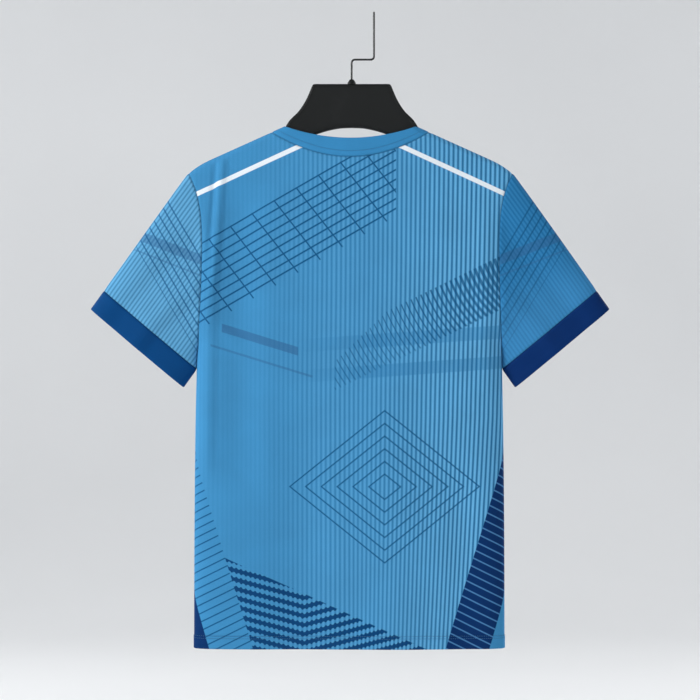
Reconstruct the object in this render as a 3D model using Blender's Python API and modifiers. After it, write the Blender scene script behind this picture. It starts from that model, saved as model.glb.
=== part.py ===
"""A short-sleeved sports t-shirt that hangs on a flat plastic hanger with a wire hook.

Metres, +Z up. The origin is the inside top of the hook, where a rail or a wall wire carries it.
The shirt's back faces -Y, and its left sleeve, as it is worn, is at -X.
Every cloth surface below is the inner face of the cloth, whose thickness grows outwards.
"""
import math
from collections import namedtuple

import bpy

BACK, FRONT = -1, 1
LEFT, RIGHT = -1, 1

# Cloth
WALL = 0.0012
DOUBLE_WALL = 0.0018
SEAM_GAP = 0.0003
COLLAR_GAP = {BACK: 0.0006, FRONT: 0.0009}
ARMHOLE_ALLOWANCE = 0.0015

# Hook wire, and where the shirt and the hanger hang from its crown
WIRE_RADIUS = 0.0014
CROWN_RADIUS = 0.010
TAIL_LENGTH = 0.012
BEND_RADIUS = 0.0045
JOG_Z = -0.0645
CENTRE_X = -0.0322
PLANE_Y = -CROWN_RADIUS

# Neck and shoulders
COLLAR_POINT_X = 0.0895
COLLAR_POINT_Z = -0.1568
NECK_POINT_X = 0.1075
SHOULDER_TIP_X = 0.2210
SHOULDER_SLOPE = 0.45
DROOP_START_X = 0.185
TIP_DROOP = 0.0056
RIDGE_RADIUS = 0.0080
WIDENING_LENGTH = 0.080

# Lowest points of the neckline seam and of the collar's top edge, on each side
NECK_SEAM_Z = {BACK: -0.1987, FRONT: -0.2555}
COLLAR_TOP_Z = {BACK: -0.1726, FRONT: -0.2310}
NECK_ROUNDNESS = {BACK: 2.0, FRONT: 2.5}

# Body
SHIRT_LENGTH = 0.7147
HEM_Z = COLLAR_POINT_Z - SHIRT_LENGTH
HEM_TURN_UP = 0.018
ARMPIT_Z = -0.4596
SIDE_ROUNDNESS = 4.0
EDGE_STEP = 0.001
ARMHOLE_OPENNESS = 0.13
ARMHOLE_ROUNDING = 0.060

# Half sections of the body, from the hem to the tip of the shoulder
Level = namedtuple("Level", "z half_width back_depth front_depth")
LEVELS = (
    Level(z=-0.8715, half_width=0.2112, back_depth=0.0245, front_depth=0.0290),
    Level(z=-0.7230, half_width=0.2105, back_depth=0.0265, front_depth=0.0320),
    Level(z=-0.6130, half_width=0.2096, back_depth=0.0270, front_depth=0.0330),
    Level(z=-0.5220, half_width=0.2080, back_depth=0.0265, front_depth=0.0330),
    Level(z=-0.4910, half_width=0.2068, back_depth=0.0260, front_depth=0.0325),
    Level(z=-0.4596, half_width=0.2066, back_depth=0.0255, front_depth=0.0320),
    Level(z=-0.4300, half_width=0.2056, back_depth=0.0250, front_depth=0.0310),
    Level(z=-0.3850, half_width=0.2036, back_depth=0.0240, front_depth=0.0300),
    Level(z=-0.3000, half_width=0.2030, back_depth=0.0225, front_depth=0.0270),
    Level(z=-0.2706, half_width=0.2055, back_depth=0.0220, front_depth=0.0260),
    Level(z=-0.2432, half_width=0.2118, back_depth=0.0215, front_depth=0.0250),
    Level(z=-0.2200, half_width=0.2210, back_depth=0.0210, front_depth=0.0240),
)

# Soft folds of the body: each runs from its top to its low end, out (+) or in (-)
Fold = namedtuple("Fold", "side top_x top_z low_x low_z half_width rise")
FOLDS = (
    Fold(BACK, top_x=-0.190, top_z=-0.205, low_x=-0.193, low_z=-0.560, half_width=0.016, rise=0.0036),
    Fold(BACK, top_x=-0.160, top_z=-0.215, low_x=-0.158, low_z=-0.560, half_width=0.024, rise=-0.0030),
    Fold(BACK, top_x=0.182, top_z=-0.250, low_x=0.186, low_z=-0.520, half_width=0.020, rise=0.0018),
    Fold(BACK, top_x=-0.060, top_z=-0.520, low_x=-0.074, low_z=-0.960, half_width=0.060, rise=-0.0030),
    Fold(BACK, top_x=0.050, top_z=-0.480, low_x=0.066, low_z=-0.960, half_width=0.065, rise=0.0030),
    Fold(BACK, top_x=0.150, top_z=-0.600, low_x=0.160, low_z=-0.960, half_width=0.038, rise=-0.0026),
    Fold(FRONT, top_x=-0.186, top_z=-0.230, low_x=-0.190, low_z=-0.540, half_width=0.018, rise=0.0030),
    Fold(FRONT, top_x=0.186, top_z=-0.215, low_x=0.190, low_z=-0.580, half_width=0.018, rise=0.0036),
    Fold(FRONT, top_x=0.152, top_z=-0.230, low_x=0.150, low_z=-0.560, half_width=0.026, rise=-0.0030),
    Fold(FRONT, top_x=-0.090, top_z=-0.250, low_x=-0.030, low_z=-0.420, half_width=0.030, rise=0.0024),
    Fold(FRONT, top_x=0.085, top_z=-0.250, low_x=0.034, low_z=-0.400, half_width=0.028, rise=0.0020),
    Fold(FRONT, top_x=-0.080, top_z=-0.500, low_x=-0.096, low_z=-0.960, half_width=0.058, rise=0.0034),
    Fold(FRONT, top_x=0.020, top_z=-0.470, low_x=0.012, low_z=-0.960, half_width=0.062, rise=-0.0034),
    Fold(FRONT, top_x=0.120, top_z=-0.560, low_x=0.134, low_z=-0.960, half_width=0.046, rise=0.0028),
)
FOLD_FADE = 0.070

# Sleeves and cuffs, as seen flat: each corner is (distance from the middle, height)
UNDERARM_BEND = (0.2130, -0.4584)
CUFF_SEAM_LOW = (0.2118, -0.4911)
OVERARM_BEND = (0.2275, -0.2282)
CUFF_SEAM_TOP = (0.3338, -0.3822)
CUFF_WIDTH = 0.0295
CUFF_DEPTH = 0.0150
CUFF_FLARE = 0.08
CUFF_ROUNDNESS = 3.0

# Soft folds of a sleeve: across is 0 at the underarm and 1 at the top, along is 0 at the armhole
SLEEVE_FOLD_RUN_IN = 0.35
SleeveFold = namedtuple("SleeveFold", "hand side across_start across_end half_width rise")
SLEEVE_FOLDS = (
    SleeveFold(LEFT, BACK, across_start=0.30, across_end=0.52, half_width=0.13, rise=0.0026),
    SleeveFold(LEFT, BACK, across_start=0.58, across_end=0.76, half_width=0.14, rise=-0.0022),
    SleeveFold(RIGHT, BACK, across_start=0.26, across_end=0.44, half_width=0.14, rise=0.0024),
    SleeveFold(RIGHT, BACK, across_start=0.66, across_end=0.72, half_width=0.15, rise=-0.0020),
    SleeveFold(LEFT, FRONT, across_start=0.34, across_end=0.48, half_width=0.14, rise=0.0026),
    SleeveFold(RIGHT, FRONT, across_start=0.30, across_end=0.56, half_width=0.14, rise=0.0028),
    SleeveFold(RIGHT, FRONT, across_start=0.64, across_end=0.80, half_width=0.13, rise=-0.0020),
)

# Hanger: height of its upper and lower edge at each distance from its middle
Edge = namedtuple("Edge", "x upper lower")
HANGER_EDGES = (
    Edge(x=0.0000, upper=-0.0982, lower=-0.1552),
    Edge(x=0.0250, upper=-0.0982, lower=-0.1570),
    Edge(x=0.0500, upper=-0.0982, lower=-0.1655),
    Edge(x=0.0545, upper=-0.1010, lower=-0.1680),
    Edge(x=0.0570, upper=-0.1086, lower=-0.1693),
    Edge(x=0.0622, upper=-0.1210, lower=-0.1718),
    Edge(x=0.0690, upper=-0.1345, lower=-0.1750),
    Edge(x=0.0780, upper=-0.1462, lower=-0.1792),
    Edge(x=0.0895, upper=-0.1598, lower=-0.1844),
    Edge(x=0.1200, upper=-0.1730, lower=-0.1970),
    Edge(x=0.1600, upper=-0.1910, lower=-0.2120),
    Edge(x=0.1950, upper=-0.2072, lower=-0.2232),
    Edge(x=0.2080, upper=-0.2142, lower=-0.2262),
    Edge(x=0.2130, upper=-0.2200, lower=-0.2256),
)
HANGER_THICKNESS = 0.009
HANGER_EDGE_RADIUS = 0.0025
KNOB_HEIGHT = 0.0085
KNOB_TOP_RADIUS = 0.0036
KNOB_FOOT_RADIUS = 0.0055
KNOB_CONE_SHARE = 0.75

# Fineness of the meshes: a spacing above 1 draws the columns together at the side or the tip
SIDE_SPACING = 2.0
SHOULDER_SPACING = 1.5
NECK_COLUMNS = 8
HALF_COLUMNS = 15
BODY_ROWS = 8
ARMHOLE_ROWS = 14
SLEEVE_ROWS = 8
CUFF_ROWS = 2
COLLAR_ROWS = 4
ARC_STEPS = 8
KNOB_STEPS = 24

# Colours as they look, 0 to 255, with roughness
Finish = namedtuple("Finish", "red green blue roughness")
FINISHES = {
    "shirt_cloth": Finish(61, 139, 189, 0.78),
    "cuff_cloth": Finish(11, 57, 108, 0.78),
    "collar_cloth": Finish(56, 135, 187, 0.72),
    "black_plastic": Finish(39, 41, 40, 0.38),
    "black_wire": Finish(30, 31, 32, 0.30),
}


def clamp(value):
    return min(1.0, max(0.0, value))


def ease(share):
    share = clamp(share)
    return share * share * (3.0 - 2.0 * share)


def mix(start, end, share):
    return start + (end - start) * share


def rounded(share, roundness):
    """Height of a round-cornered section at a share of its half width, 1 in the middle."""
    return (1.0 - clamp(abs(share)) ** roundness) ** (1.0 / roundness)


def swell(share):
    """Height of a soft fold at a share of its half width, 1 on its crest."""
    return 0.5 + 0.5 * math.cos(math.pi * min(1.0, abs(share)))


def smooth_value(rows, key, column, place):
    """The value of a column at a place, on a smooth line through the table's rows."""
    places = [getattr(row, key) for row in rows]
    values = [getattr(row, column) for row in rows]
    if place <= places[0]:
        return values[0]
    if place >= places[-1]:
        return values[-1]
    index = max(number for number, start in enumerate(places) if start <= place)
    slopes = [(values[i + 1] - values[i]) / (places[i + 1] - places[i]) for i in range(len(rows) - 1)]
    leave = mix(slopes[max(index - 1, 0)], slopes[index], 0.5)
    arrive = mix(slopes[index], slopes[min(index + 1, len(slopes) - 1)], 0.5)
    span = places[index + 1] - places[index]
    share = (place - places[index]) / span
    bend = share * (1.0 - share) * span
    straight = mix(values[index], values[index + 1], share)
    return straight + bend * ((1.0 - share) * (leave - slopes[index]) - share * (arrive - slopes[index]))


def shoulder_line(x):
    """Height of the shoulder's ridge. Over the open neck it runs on as a low arch."""
    x = abs(x)
    if x < COLLAR_POINT_X:
        return COLLAR_POINT_Z + SHOULDER_SLOPE * (COLLAR_POINT_X ** 2 - x ** 2) / (2.0 * COLLAR_POINT_X)
    droop_share = max(0.0, x - DROOP_START_X) / (SHOULDER_TIP_X - DROOP_START_X)
    return COLLAR_POINT_Z - SHOULDER_SLOPE * (x - COLLAR_POINT_X) - TIP_DROOP * droop_share ** 3


def half_width(z):
    """Distance from the middle to the side seam, or above it to the armhole."""
    return smooth_value(LEVELS, "z", "half_width", z)


def fold_relief(side, x, z):
    """How far the folds of one side move its cloth out at a place."""
    relief = 0.0
    for fold in FOLDS:
        inside_ends = min(fold.top_z - z, z - fold.low_z)
        if fold.side != side or inside_ends <= 0.0:
            continue
        down = (fold.top_z - z) / (fold.top_z - fold.low_z)
        across = (x - mix(fold.top_x, fold.low_x, down)) / fold.half_width
        relief += fold.rise * swell(across) * ease(inside_ends / FOLD_FADE)
    return relief


def cloth_depth(side, x, z):
    """Distance of the back or front cloth from the shirt's middle plane."""
    drop = max(0.0, shoulder_line(x) - z)
    cap_drop = min(drop, RIDGE_RADIUS)
    cap = math.sqrt(cap_drop * (2.0 * RIDGE_RADIUS - cap_drop))
    column = "back_depth" if side == BACK else "front_depth"
    widening = smooth_value(LEVELS, "z", column, z) - RIDGE_RADIUS
    widening *= 1.0 - math.exp(-drop / WIDENING_LENGTH)
    openness = ARMHOLE_OPENNESS * ease((z - ARMPIT_Z) / ARMHOLE_ROUNDING)
    edge = rounded((1.0 - openness) * x / half_width(z), SIDE_ROUNDNESS)
    return (cap + widening + fold_relief(side, x, z)) * edge


def edge_lean(side, x, z):
    """How far a panel's wall leans out over its armhole edge, as a share of its thickness."""
    inside = math.copysign(abs(x) - EDGE_STEP, x)
    slope = (cloth_depth(side, inside, z) - cloth_depth(side, x, z)) / EDGE_STEP
    return max(0.0, slope) / math.hypot(1.0, slope)


def neckline(side, share):
    """A point of the neckline seam: share is 0 in the middle and 1 on the shoulder."""
    x = NECK_POINT_X * share
    rise = shoulder_line(NECK_POINT_X) - NECK_SEAM_Z[side]
    return x, NECK_SEAM_Z[side] + rise * abs(share) ** NECK_ROUNDNESS[side]


def collar_top(side, share):
    """A point of the collar's top edge, on the same share as the seam below it."""
    x = COLLAR_POINT_X * share
    rise = shoulder_line(COLLAR_POINT_X) - COLLAR_TOP_Z[side]
    return x, COLLAR_TOP_Z[side] + rise * abs(share) ** NECK_ROUNDNESS[side]


def neck_share(column):
    return math.sin(0.5 * math.pi * column / NECK_COLUMNS)


def panel_top(side, column):
    """A point of a panel's top edge: the neckline, then the shoulder seam."""
    if abs(column) <= NECK_COLUMNS:
        return neckline(side, neck_share(column))
    inwards = (HALF_COLUMNS - abs(column)) / (HALF_COLUMNS - NECK_COLUMNS)
    x = mix(SHOULDER_TIP_X, NECK_POINT_X, inwards ** SHOULDER_SPACING)
    return math.copysign(x, column), shoulder_line(x)


def column_share(column):
    """Place of a column between the middle and the side, closer together at the side."""
    inwards = 1.0 - abs(column) / HALF_COLUMNS
    return math.copysign(1.0 - inwards ** SIDE_SPACING, column)


def armhole_shares():
    """Rows from the armpit, 0, to the shoulder tip, 1, closer together at both ends."""
    return [0.5 - 0.5 * math.cos(math.pi * row / ARMHOLE_ROWS) for row in range(ARMHOLE_ROWS + 1)]


def armhole_point(share):
    """A point of the armhole seam, seen flat."""
    z = mix(ARMPIT_Z, shoulder_line(SHOULDER_TIP_X), share)
    return half_width(z), z


def upper_panel_point(side, column, share):
    """A point between the armpits, 0, and the panel's top edge, 1, that keeps both armholes."""
    across = column_share(column)
    edge_x, edge_z = armhole_point(share)
    top_x, top_z = panel_top(side, column)
    straight_edge_x = mix(half_width(ARMPIT_Z), SHOULDER_TIP_X, share)
    x = mix(across * half_width(ARMPIT_Z), top_x, share) + across * (edge_x - straight_edge_x)
    return x, edge_z + share * (top_z - shoulder_line(SHOULDER_TIP_X))


def body_heights():
    """Rows from the hem to below the armpit: the turned-up hem, its step, then even rows."""
    step_z = HEM_Z + HEM_TURN_UP + SEAM_GAP
    even_rows = [mix(step_z, ARMPIT_Z, row / BODY_ROWS) for row in range(BODY_ROWS)]
    return [HEM_Z, HEM_Z + HEM_TURN_UP] + even_rows


def cloth_point(side, x, z):
    depth = max(cloth_depth(side, x, z), 0.5 * SEAM_GAP)
    return x, side * depth, z


def panel_rows(side):
    """All points of the back or the front, row by row from the hem up."""
    columns = range(-HALF_COLUMNS, HALF_COLUMNS + 1)
    if side == FRONT:
        columns = reversed(columns)
    columns = list(columns)
    rows = [[(column_share(column) * half_width(z), z) for column in columns] for z in body_heights()]
    for share in armhole_shares():
        rows.append([upper_panel_point(side, column, share) for column in columns])
    return [[cloth_point(side, x, z) for x, z in row] for row in rows]


def bend_point(start, control, end, share):
    """A point of a curve that leaves start towards control and arrives at end."""
    first = [mix(a, b, share) for a, b in zip(start, control)]
    second = [mix(a, b, share) for a, b in zip(control, end)]
    return [mix(a, b, share) for a, b in zip(first, second)]


def sleeve_point(across, along):
    """A point of the sleeve seen flat, between armhole, cuff seam, underarm and overarm."""
    armpit = armhole_point(0.0)
    tip = armhole_point(1.0)
    armhole = armhole_point(across)
    underarm = bend_point(armpit, UNDERARM_BEND, CUFF_SEAM_LOW, along)
    overarm = bend_point(tip, OVERARM_BEND, CUFF_SEAM_TOP, along)
    flat = []
    for axis in range(2):
        cuff = mix(CUFF_SEAM_LOW[axis], CUFF_SEAM_TOP[axis], across)
        corners = mix(mix(armpit[axis], tip[axis], across), cuff, along)
        lengthwise = mix(armhole[axis], cuff, along)
        crosswise = mix(underarm[axis], overarm[axis], across)
        flat.append(lengthwise + crosswise - corners)
    return flat


def sleeve_relief(hand, side, across, along):
    relief = 0.0
    for fold in SLEEVE_FOLDS:
        if (fold.hand, fold.side) != (hand, side):
            continue
        offset = (across - mix(fold.across_start, fold.across_end, along)) / fold.half_width
        relief += fold.rise * swell(offset) * ease(along / SLEEVE_FOLD_RUN_IN)
    return relief


def cuff_depth(across):
    return CUFF_DEPTH * rounded(2.0 * across - 1.0, CUFF_ROUNDNESS)


def sleeve_depth(hand, side, across, along):
    x, z = armhole_point(across)
    armhole_depth = cloth_depth(side, hand * x, z)
    return mix(armhole_depth, cuff_depth(across), ease(along)) + sleeve_relief(hand, side, across, along)


def ring_stations():
    """Places round a sleeve: up its back from the underarm, then down its front."""
    shares = armhole_shares()
    return [(BACK, share) for share in shares] + [(FRONT, share) for share in shares[-2:0:-1]]


def sleeve_rows(hand):
    """Rings of points from the armhole to the cuff seam."""
    rows = []
    for row in range(SLEEVE_ROWS + 1):
        along = row / SLEEVE_ROWS
        ring = []
        for side, across in ring_stations():
            x, z = sleeve_point(across, along)
            seam_x, seam_z = armhole_point(across)
            lean = edge_lean(side, hand * seam_x, seam_z)
            x += (SEAM_GAP + ARMHOLE_ALLOWANCE * lean) * (1.0 - along)
            ring.append((hand * x, side * sleeve_depth(hand, side, across, along), z))
        rows.append(ring if hand == LEFT else ring[::-1])
    return rows


def cuff_rows(hand):
    """Rings of points from the cuff seam to the open end, along the sleeve's direction."""
    run_x = CUFF_SEAM_TOP[0] - OVERARM_BEND[0]
    run_z = CUFF_SEAM_TOP[1] - OVERARM_BEND[1]
    length = math.hypot(run_x, run_z)
    rows = []
    for row in range(CUFF_ROWS + 1):
        share = row / CUFF_ROWS
        out = mix(SEAM_GAP, CUFF_WIDTH, share) / length
        ring = []
        for side, across in ring_stations():
            x, z = sleeve_point(across, 1.0)
            depth = cuff_depth(across) * (1.0 + CUFF_FLARE * share)
            depth += sleeve_relief(hand, side, across, 1.0)
            ring.append((hand * (x + run_x * out), side * depth, z + run_z * out))
        rows.append(ring if hand == LEFT else ring[::-1])
    return rows


def collar_rows():
    """Rings of points from the neckline seam to the collar's top edge."""
    back = [(BACK, column) for column in range(-NECK_COLUMNS, NECK_COLUMNS)]
    front = [(FRONT, column) for column in range(NECK_COLUMNS, -NECK_COLUMNS, -1)]
    rows = []
    for row in range(COLLAR_ROWS + 1):
        ring = []
        for side, column in back + front:
            share = neck_share(column)
            seam_x, seam_z = neckline(side, share)
            top_x, top_z = collar_top(side, share)
            band = math.hypot(top_x - seam_x, top_z - seam_z)
            up = mix(COLLAR_GAP[side] / band, 1.0, row / COLLAR_ROWS)
            x, z = mix(seam_x, top_x, up), mix(seam_z, top_z, up)
            ring.append((x, side * cloth_depth(side, x, z), z))
        rows.append(ring)
    return rows


def sheet_faces(row_count, column_count, is_ring):
    """Quads between the rows of points, closed round where the rows are rings."""
    last = column_count if is_ring else column_count - 1
    faces = []
    for row in range(row_count - 1):
        for column in range(last):
            beside = (column + 1) % column_count
            low, high = row * column_count, (row + 1) * column_count
            faces.append((low + column, low + beside, high + beside, high + column))
    return faces


def make_material(name):
    finish = FINISHES[name]
    material = bpy.data.materials.new(name)
    material.use_nodes = True
    shader = material.node_tree.nodes["Principled BSDF"]
    linear = [(channel / 255.0) ** 2.2 for channel in finish[:3]]
    shader.inputs["Base Color"].default_value = (*linear, 1.0)
    shader.inputs["Roughness"].default_value = finish.roughness
    shader.inputs["Metallic"].default_value = 0.0
    material.diffuse_color = (*linear, 1.0)
    return material


def place(piece, collection, finish_name):
    """Put a piece into the object's collection, with a material of its own."""
    collection.objects.link(piece)
    material = make_material(finish_name)
    material.name = f"{piece.name}_{finish_name}"
    piece.data.materials.append(material)
    return piece


def make_cloth(collection, name, rows, finish_name, is_ring, wall=WALL, thick_rows=0):
    """A sheet of cloth through rows of points. Its first rows may be of doubled cloth."""
    mesh = bpy.data.meshes.new(name)
    points = [point for row in rows for point in row]
    mesh.from_pydata(points, [], sheet_faces(len(rows), len(rows[0]), is_ring))
    mesh.shade_smooth()
    piece = bpy.data.objects.new(name, mesh)
    piece.location = (CENTRE_X, PLANE_Y, 0.0)
    solidify = piece.modifiers.new("cloth_wall", "SOLIDIFY")
    solidify.thickness = wall
    solidify.offset = 1.0
    solidify.use_even_offset = True
    if thick_rows:
        group = piece.vertex_groups.new(name="single_cloth")
        first_single = thick_rows * len(rows[0])
        group.add(list(range(first_single)), 1.0, "REPLACE")
        group.add(list(range(first_single, len(points))), WALL / wall, "REPLACE")
        solidify.vertex_group = group.name
    return place(piece, collection, finish_name)


def make_shirt(collection):
    hem_rows = 2
    for name, side in (("back_panel", BACK), ("front_panel", FRONT)):
        rows = panel_rows(side)
        make_cloth(collection, name, rows, "shirt_cloth", False, DOUBLE_WALL, hem_rows)
    for label, hand in (("left", LEFT), ("right", RIGHT)):
        make_cloth(collection, f"sleeve_{label}", sleeve_rows(hand), "shirt_cloth", True)
        make_cloth(collection, f"cuff_{label}", cuff_rows(hand), "cuff_cloth", True)
    make_cloth(collection, "collar", collar_rows(), "collar_cloth", True)


def hanger_outline():
    """The hanger's outline, inside its rounded rim, once round from the left tip."""
    right_half = []
    for start, end in zip(HANGER_EDGES, HANGER_EDGES[1:]):
        right_half.append(start)
        middle = mix(start.x, end.x, 0.5)
        upper = smooth_value(HANGER_EDGES, "x", "upper", middle)
        lower = smooth_value(HANGER_EDGES, "x", "lower", middle)
        right_half.append(Edge(middle, upper, lower))
    right_half.append(HANGER_EDGES[-1])
    left_half = [Edge(-edge.x, edge.upper, edge.lower) for edge in right_half[:0:-1]]
    edges = left_half + right_half
    upper = [(edge.x, edge.upper - HANGER_EDGE_RADIUS) for edge in edges]
    lower = [(edge.x, edge.lower + HANGER_EDGE_RADIUS) for edge in edges]
    return upper + lower[::-1]


def make_hanger_body(collection):
    """The plate with its arms: a flat outline with a thickness and a round rim."""
    curve = bpy.data.curves.new("hanger_body", "CURVE")
    curve.dimensions = "2D"
    curve.fill_mode = "BOTH"
    curve.extrude = 0.5 * HANGER_THICKNESS - HANGER_EDGE_RADIUS
    curve.bevel_depth = HANGER_EDGE_RADIUS
    curve.bevel_resolution = 1
    outline = hanger_outline()
    spline = curve.splines.new("POLY")
    spline.points.add(len(outline) - 1)
    for point, (x, z) in zip(spline.points, outline):
        point.co = (x, z, 0.0, 1.0)
    spline.use_cyclic_u = True
    piece = bpy.data.objects.new("hanger_body", curve)
    piece.location = (CENTRE_X, PLANE_Y, 0.0)
    piece.rotation_euler = (0.5 * math.pi, 0.0, 0.0)
    return place(piece, collection, "black_plastic")


def make_hanger_knob(collection):
    """The socket of the wire: a small cone turned about the wire's axis."""
    foot_z = HANGER_EDGES[0].upper + SEAM_GAP
    top_z = foot_z + KNOB_HEIGHT
    cone_z = mix(top_z, foot_z, KNOB_CONE_SHARE)
    profile = ((0.0, top_z), (KNOB_TOP_RADIUS, top_z), (KNOB_FOOT_RADIUS, cone_z),
               (KNOB_FOOT_RADIUS, foot_z), (0.0, foot_z))
    mesh = bpy.data.meshes.new("hanger_knob")
    edges = [(index, index + 1) for index in range(len(profile) - 1)]
    mesh.from_pydata([(x, 0.0, z) for x, z in profile], edges, [])
    piece = bpy.data.objects.new("hanger_knob", mesh)
    piece.location = (CENTRE_X, PLANE_Y, 0.0)
    screw = piece.modifiers.new("turned", "SCREW")
    screw.steps = KNOB_STEPS
    screw.render_steps = KNOB_STEPS
    screw.use_merge_vertices = True
    screw.merge_threshold = 0.00001
    return place(piece, collection, "black_plastic")


def corner_arc(before, corner, after, radius):
    """Points of a round bend in place of a square corner."""
    enter = [(b - c) / math.dist(before, corner) for b, c in zip(before, corner)]
    leave = [(a - c) / math.dist(after, corner) for a, c in zip(after, corner)]
    points = []
    for step in range(ARC_STEPS + 1):
        angle = 0.5 * math.pi * step / ARC_STEPS
        back_in, back_out = 1.0 - math.sin(angle), 1.0 - math.cos(angle)
        points.append([c + radius * (i * back_in + o * back_out)
                       for c, i, o in zip(corner, enter, leave)])
    return points


def hook_path():
    """The wire's middle line: up from the knob, a jog across, up, and over the crown."""
    knob_top = HANGER_EDGES[0].upper + 2.0 * SEAM_GAP + KNOB_HEIGHT
    start = (CENTRE_X, PLANE_Y, knob_top)
    low_corner = (CENTRE_X, PLANE_Y, JOG_Z)
    high_corner = (0.0, PLANE_Y, JOG_Z)
    crown_centre_z = WIRE_RADIUS - CROWN_RADIUS
    crown_start = (0.0, PLANE_Y, crown_centre_z)
    path = [start]
    path += corner_arc(start, low_corner, high_corner, BEND_RADIUS)
    path += corner_arc(low_corner, high_corner, crown_start, BEND_RADIUS)
    for step in range(2 * ARC_STEPS + 1):
        angle = math.pi * step / (2 * ARC_STEPS)
        crown_z = crown_centre_z + CROWN_RADIUS * math.sin(angle)
        path.append((0.0, -CROWN_RADIUS * math.cos(angle), crown_z))
    path.append((0.0, CROWN_RADIUS, crown_centre_z - TAIL_LENGTH))
    return path


def make_hanger_hook(collection):
    """The hook: a round wire along its path."""
    curve = bpy.data.curves.new("hanger_hook", "CURVE")
    curve.dimensions = "3D"
    curve.bevel_depth = WIRE_RADIUS
    curve.bevel_resolution = 2
    curve.use_fill_caps = True
    path = hook_path()
    spline = curve.splines.new("POLY")
    spline.points.add(len(path) - 1)
    for point, place_on_path in zip(spline.points, path):
        point.co = (*place_on_path, 1.0)
    piece = bpy.data.objects.new("hanger_hook", curve)
    return place(piece, collection, "black_wire")


def main():
    for old in list(bpy.data.objects):
        bpy.data.objects.remove(old, do_unlink=True)
    collection = bpy.data.collections.new("sports_t_shirt_on_a_hanger")
    bpy.context.scene.collection.children.link(collection)
    make_shirt(collection)
    make_hanger_body(collection)
    make_hanger_knob(collection)
    make_hanger_hook(collection)


main()
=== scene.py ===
"""The looks of a short-sleeved sports t-shirt on a flat hanger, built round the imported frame.

Metres, in the frame of the solids: +Z up, the shirt's back faces -Y, its left sleeve is at -X.
Each cloth piece lies on the surface that its solid has, with finer folds, seams and stitches.
"""
import math
from collections import namedtuple
from functools import partial, partialmethod, reduce

import bpy
import numpy as np
from mathutils import Matrix, Vector
from mathutils.kdtree import KDTree


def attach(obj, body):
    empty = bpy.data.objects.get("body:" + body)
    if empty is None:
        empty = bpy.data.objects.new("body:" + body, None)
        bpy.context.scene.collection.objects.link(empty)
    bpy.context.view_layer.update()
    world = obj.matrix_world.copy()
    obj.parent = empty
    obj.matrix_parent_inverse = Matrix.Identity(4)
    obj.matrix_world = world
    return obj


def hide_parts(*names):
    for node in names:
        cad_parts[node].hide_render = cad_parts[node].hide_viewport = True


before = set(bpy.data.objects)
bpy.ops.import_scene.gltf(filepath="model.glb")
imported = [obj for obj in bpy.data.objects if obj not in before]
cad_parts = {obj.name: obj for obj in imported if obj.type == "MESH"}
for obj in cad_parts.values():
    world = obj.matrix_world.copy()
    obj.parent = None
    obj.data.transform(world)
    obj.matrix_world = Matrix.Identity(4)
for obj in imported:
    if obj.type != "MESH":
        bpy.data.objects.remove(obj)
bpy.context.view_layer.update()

BACK, FRONT = -1, 1
LEFT, RIGHT = -1, 1

# ---------------------------------------------------------------- sizes

# Cloth
WALL = 0.0012
HEM_WALL = 0.0018
SEAM_WALL = 0.0006
SEAM_ROLL = 0.0030
SEAM_GAP = 0.00006
SEAM_SPACING = 0.0008
EDGE_ROLL = 0.0014
EDGE_WALL_SHARE = 0.30
EDGE_STEPS = np.array([0.0, 0.0003, 0.0008, 0.0014])
CLOTH_SHARP = 55.0

# Seam allowance of a piece, which lies inside the next one: reach over the seam, depth inside it
ALLOWANCE_REACHES = np.array([0.0036, 0.0020, 0.0004])
ALLOWANCE_DEPTH = 0.0010
ALLOWANCE_LEAST_SHARE = 0.4
ALLOWANCE_RING_SHARE = 0.99
COLLAR_TUCK_POWER = 6
SEAM_LIP = 0.0006

# Hook wire, and where the shirt and the hanger hang from its crown
WIRE_RADIUS = 0.0014
WIRE_SIDES = 20
CROWN_RADIUS = 0.010
TAIL_LENGTH = 0.012
BEND_RADIUS = 0.0045
JOG_Z = -0.0645
CENTRE_X = -0.0322
PLANE_Y = -CROWN_RADIUS

# The cloth hangs a little to the left below its shoulders
HANG_DRIFT = -0.0016
DRIFT_TOP_Z = -0.32
DRIFT_RUN = 0.22

# Neck and shoulders
COLLAR_POINT_X = 0.0895
COLLAR_POINT_Z = -0.1568
NECK_POINT_X = 0.1075
SHOULDER_TIP_X = 0.2210
SHOULDER_SLOPE = 0.45
DROOP_START_X = 0.185
TIP_DROOP = 0.0056
RIDGE_RADIUS = 0.0080
WIDENING_LENGTH = 0.080
NECK_SEAM_Z = {BACK: -0.1987, FRONT: -0.2555}
COLLAR_TOP_Z = {BACK: -0.1726, FRONT: -0.2310}
NECK_ROUNDNESS = {BACK: 2.0, FRONT: 2.5}

# Body
SHIRT_LENGTH = 0.7128
HEM_Z = COLLAR_POINT_Z - SHIRT_LENGTH
HEM_TURN_UP = 0.018
HEM_STEP_RUN = 0.0012
HEM_FINE_SHARE = 1.4
ARMPIT_Z = -0.4596
SIDE_ROUNDNESS = 4.0
ARMHOLE_OPENNESS = 0.13
ARMHOLE_ROUNDING = 0.060

# Rows of stitches: heights above the hem and above the collar's seam, and one stitch's sizes
HEM_STITCHES_UP = (0.0146, 0.0180)
COLLAR_STITCHES_UP = 0.0080
STITCH_SIZES = {"Pitch": 0.0030, "Length": 0.0026, "Width": 0.0005}

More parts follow.
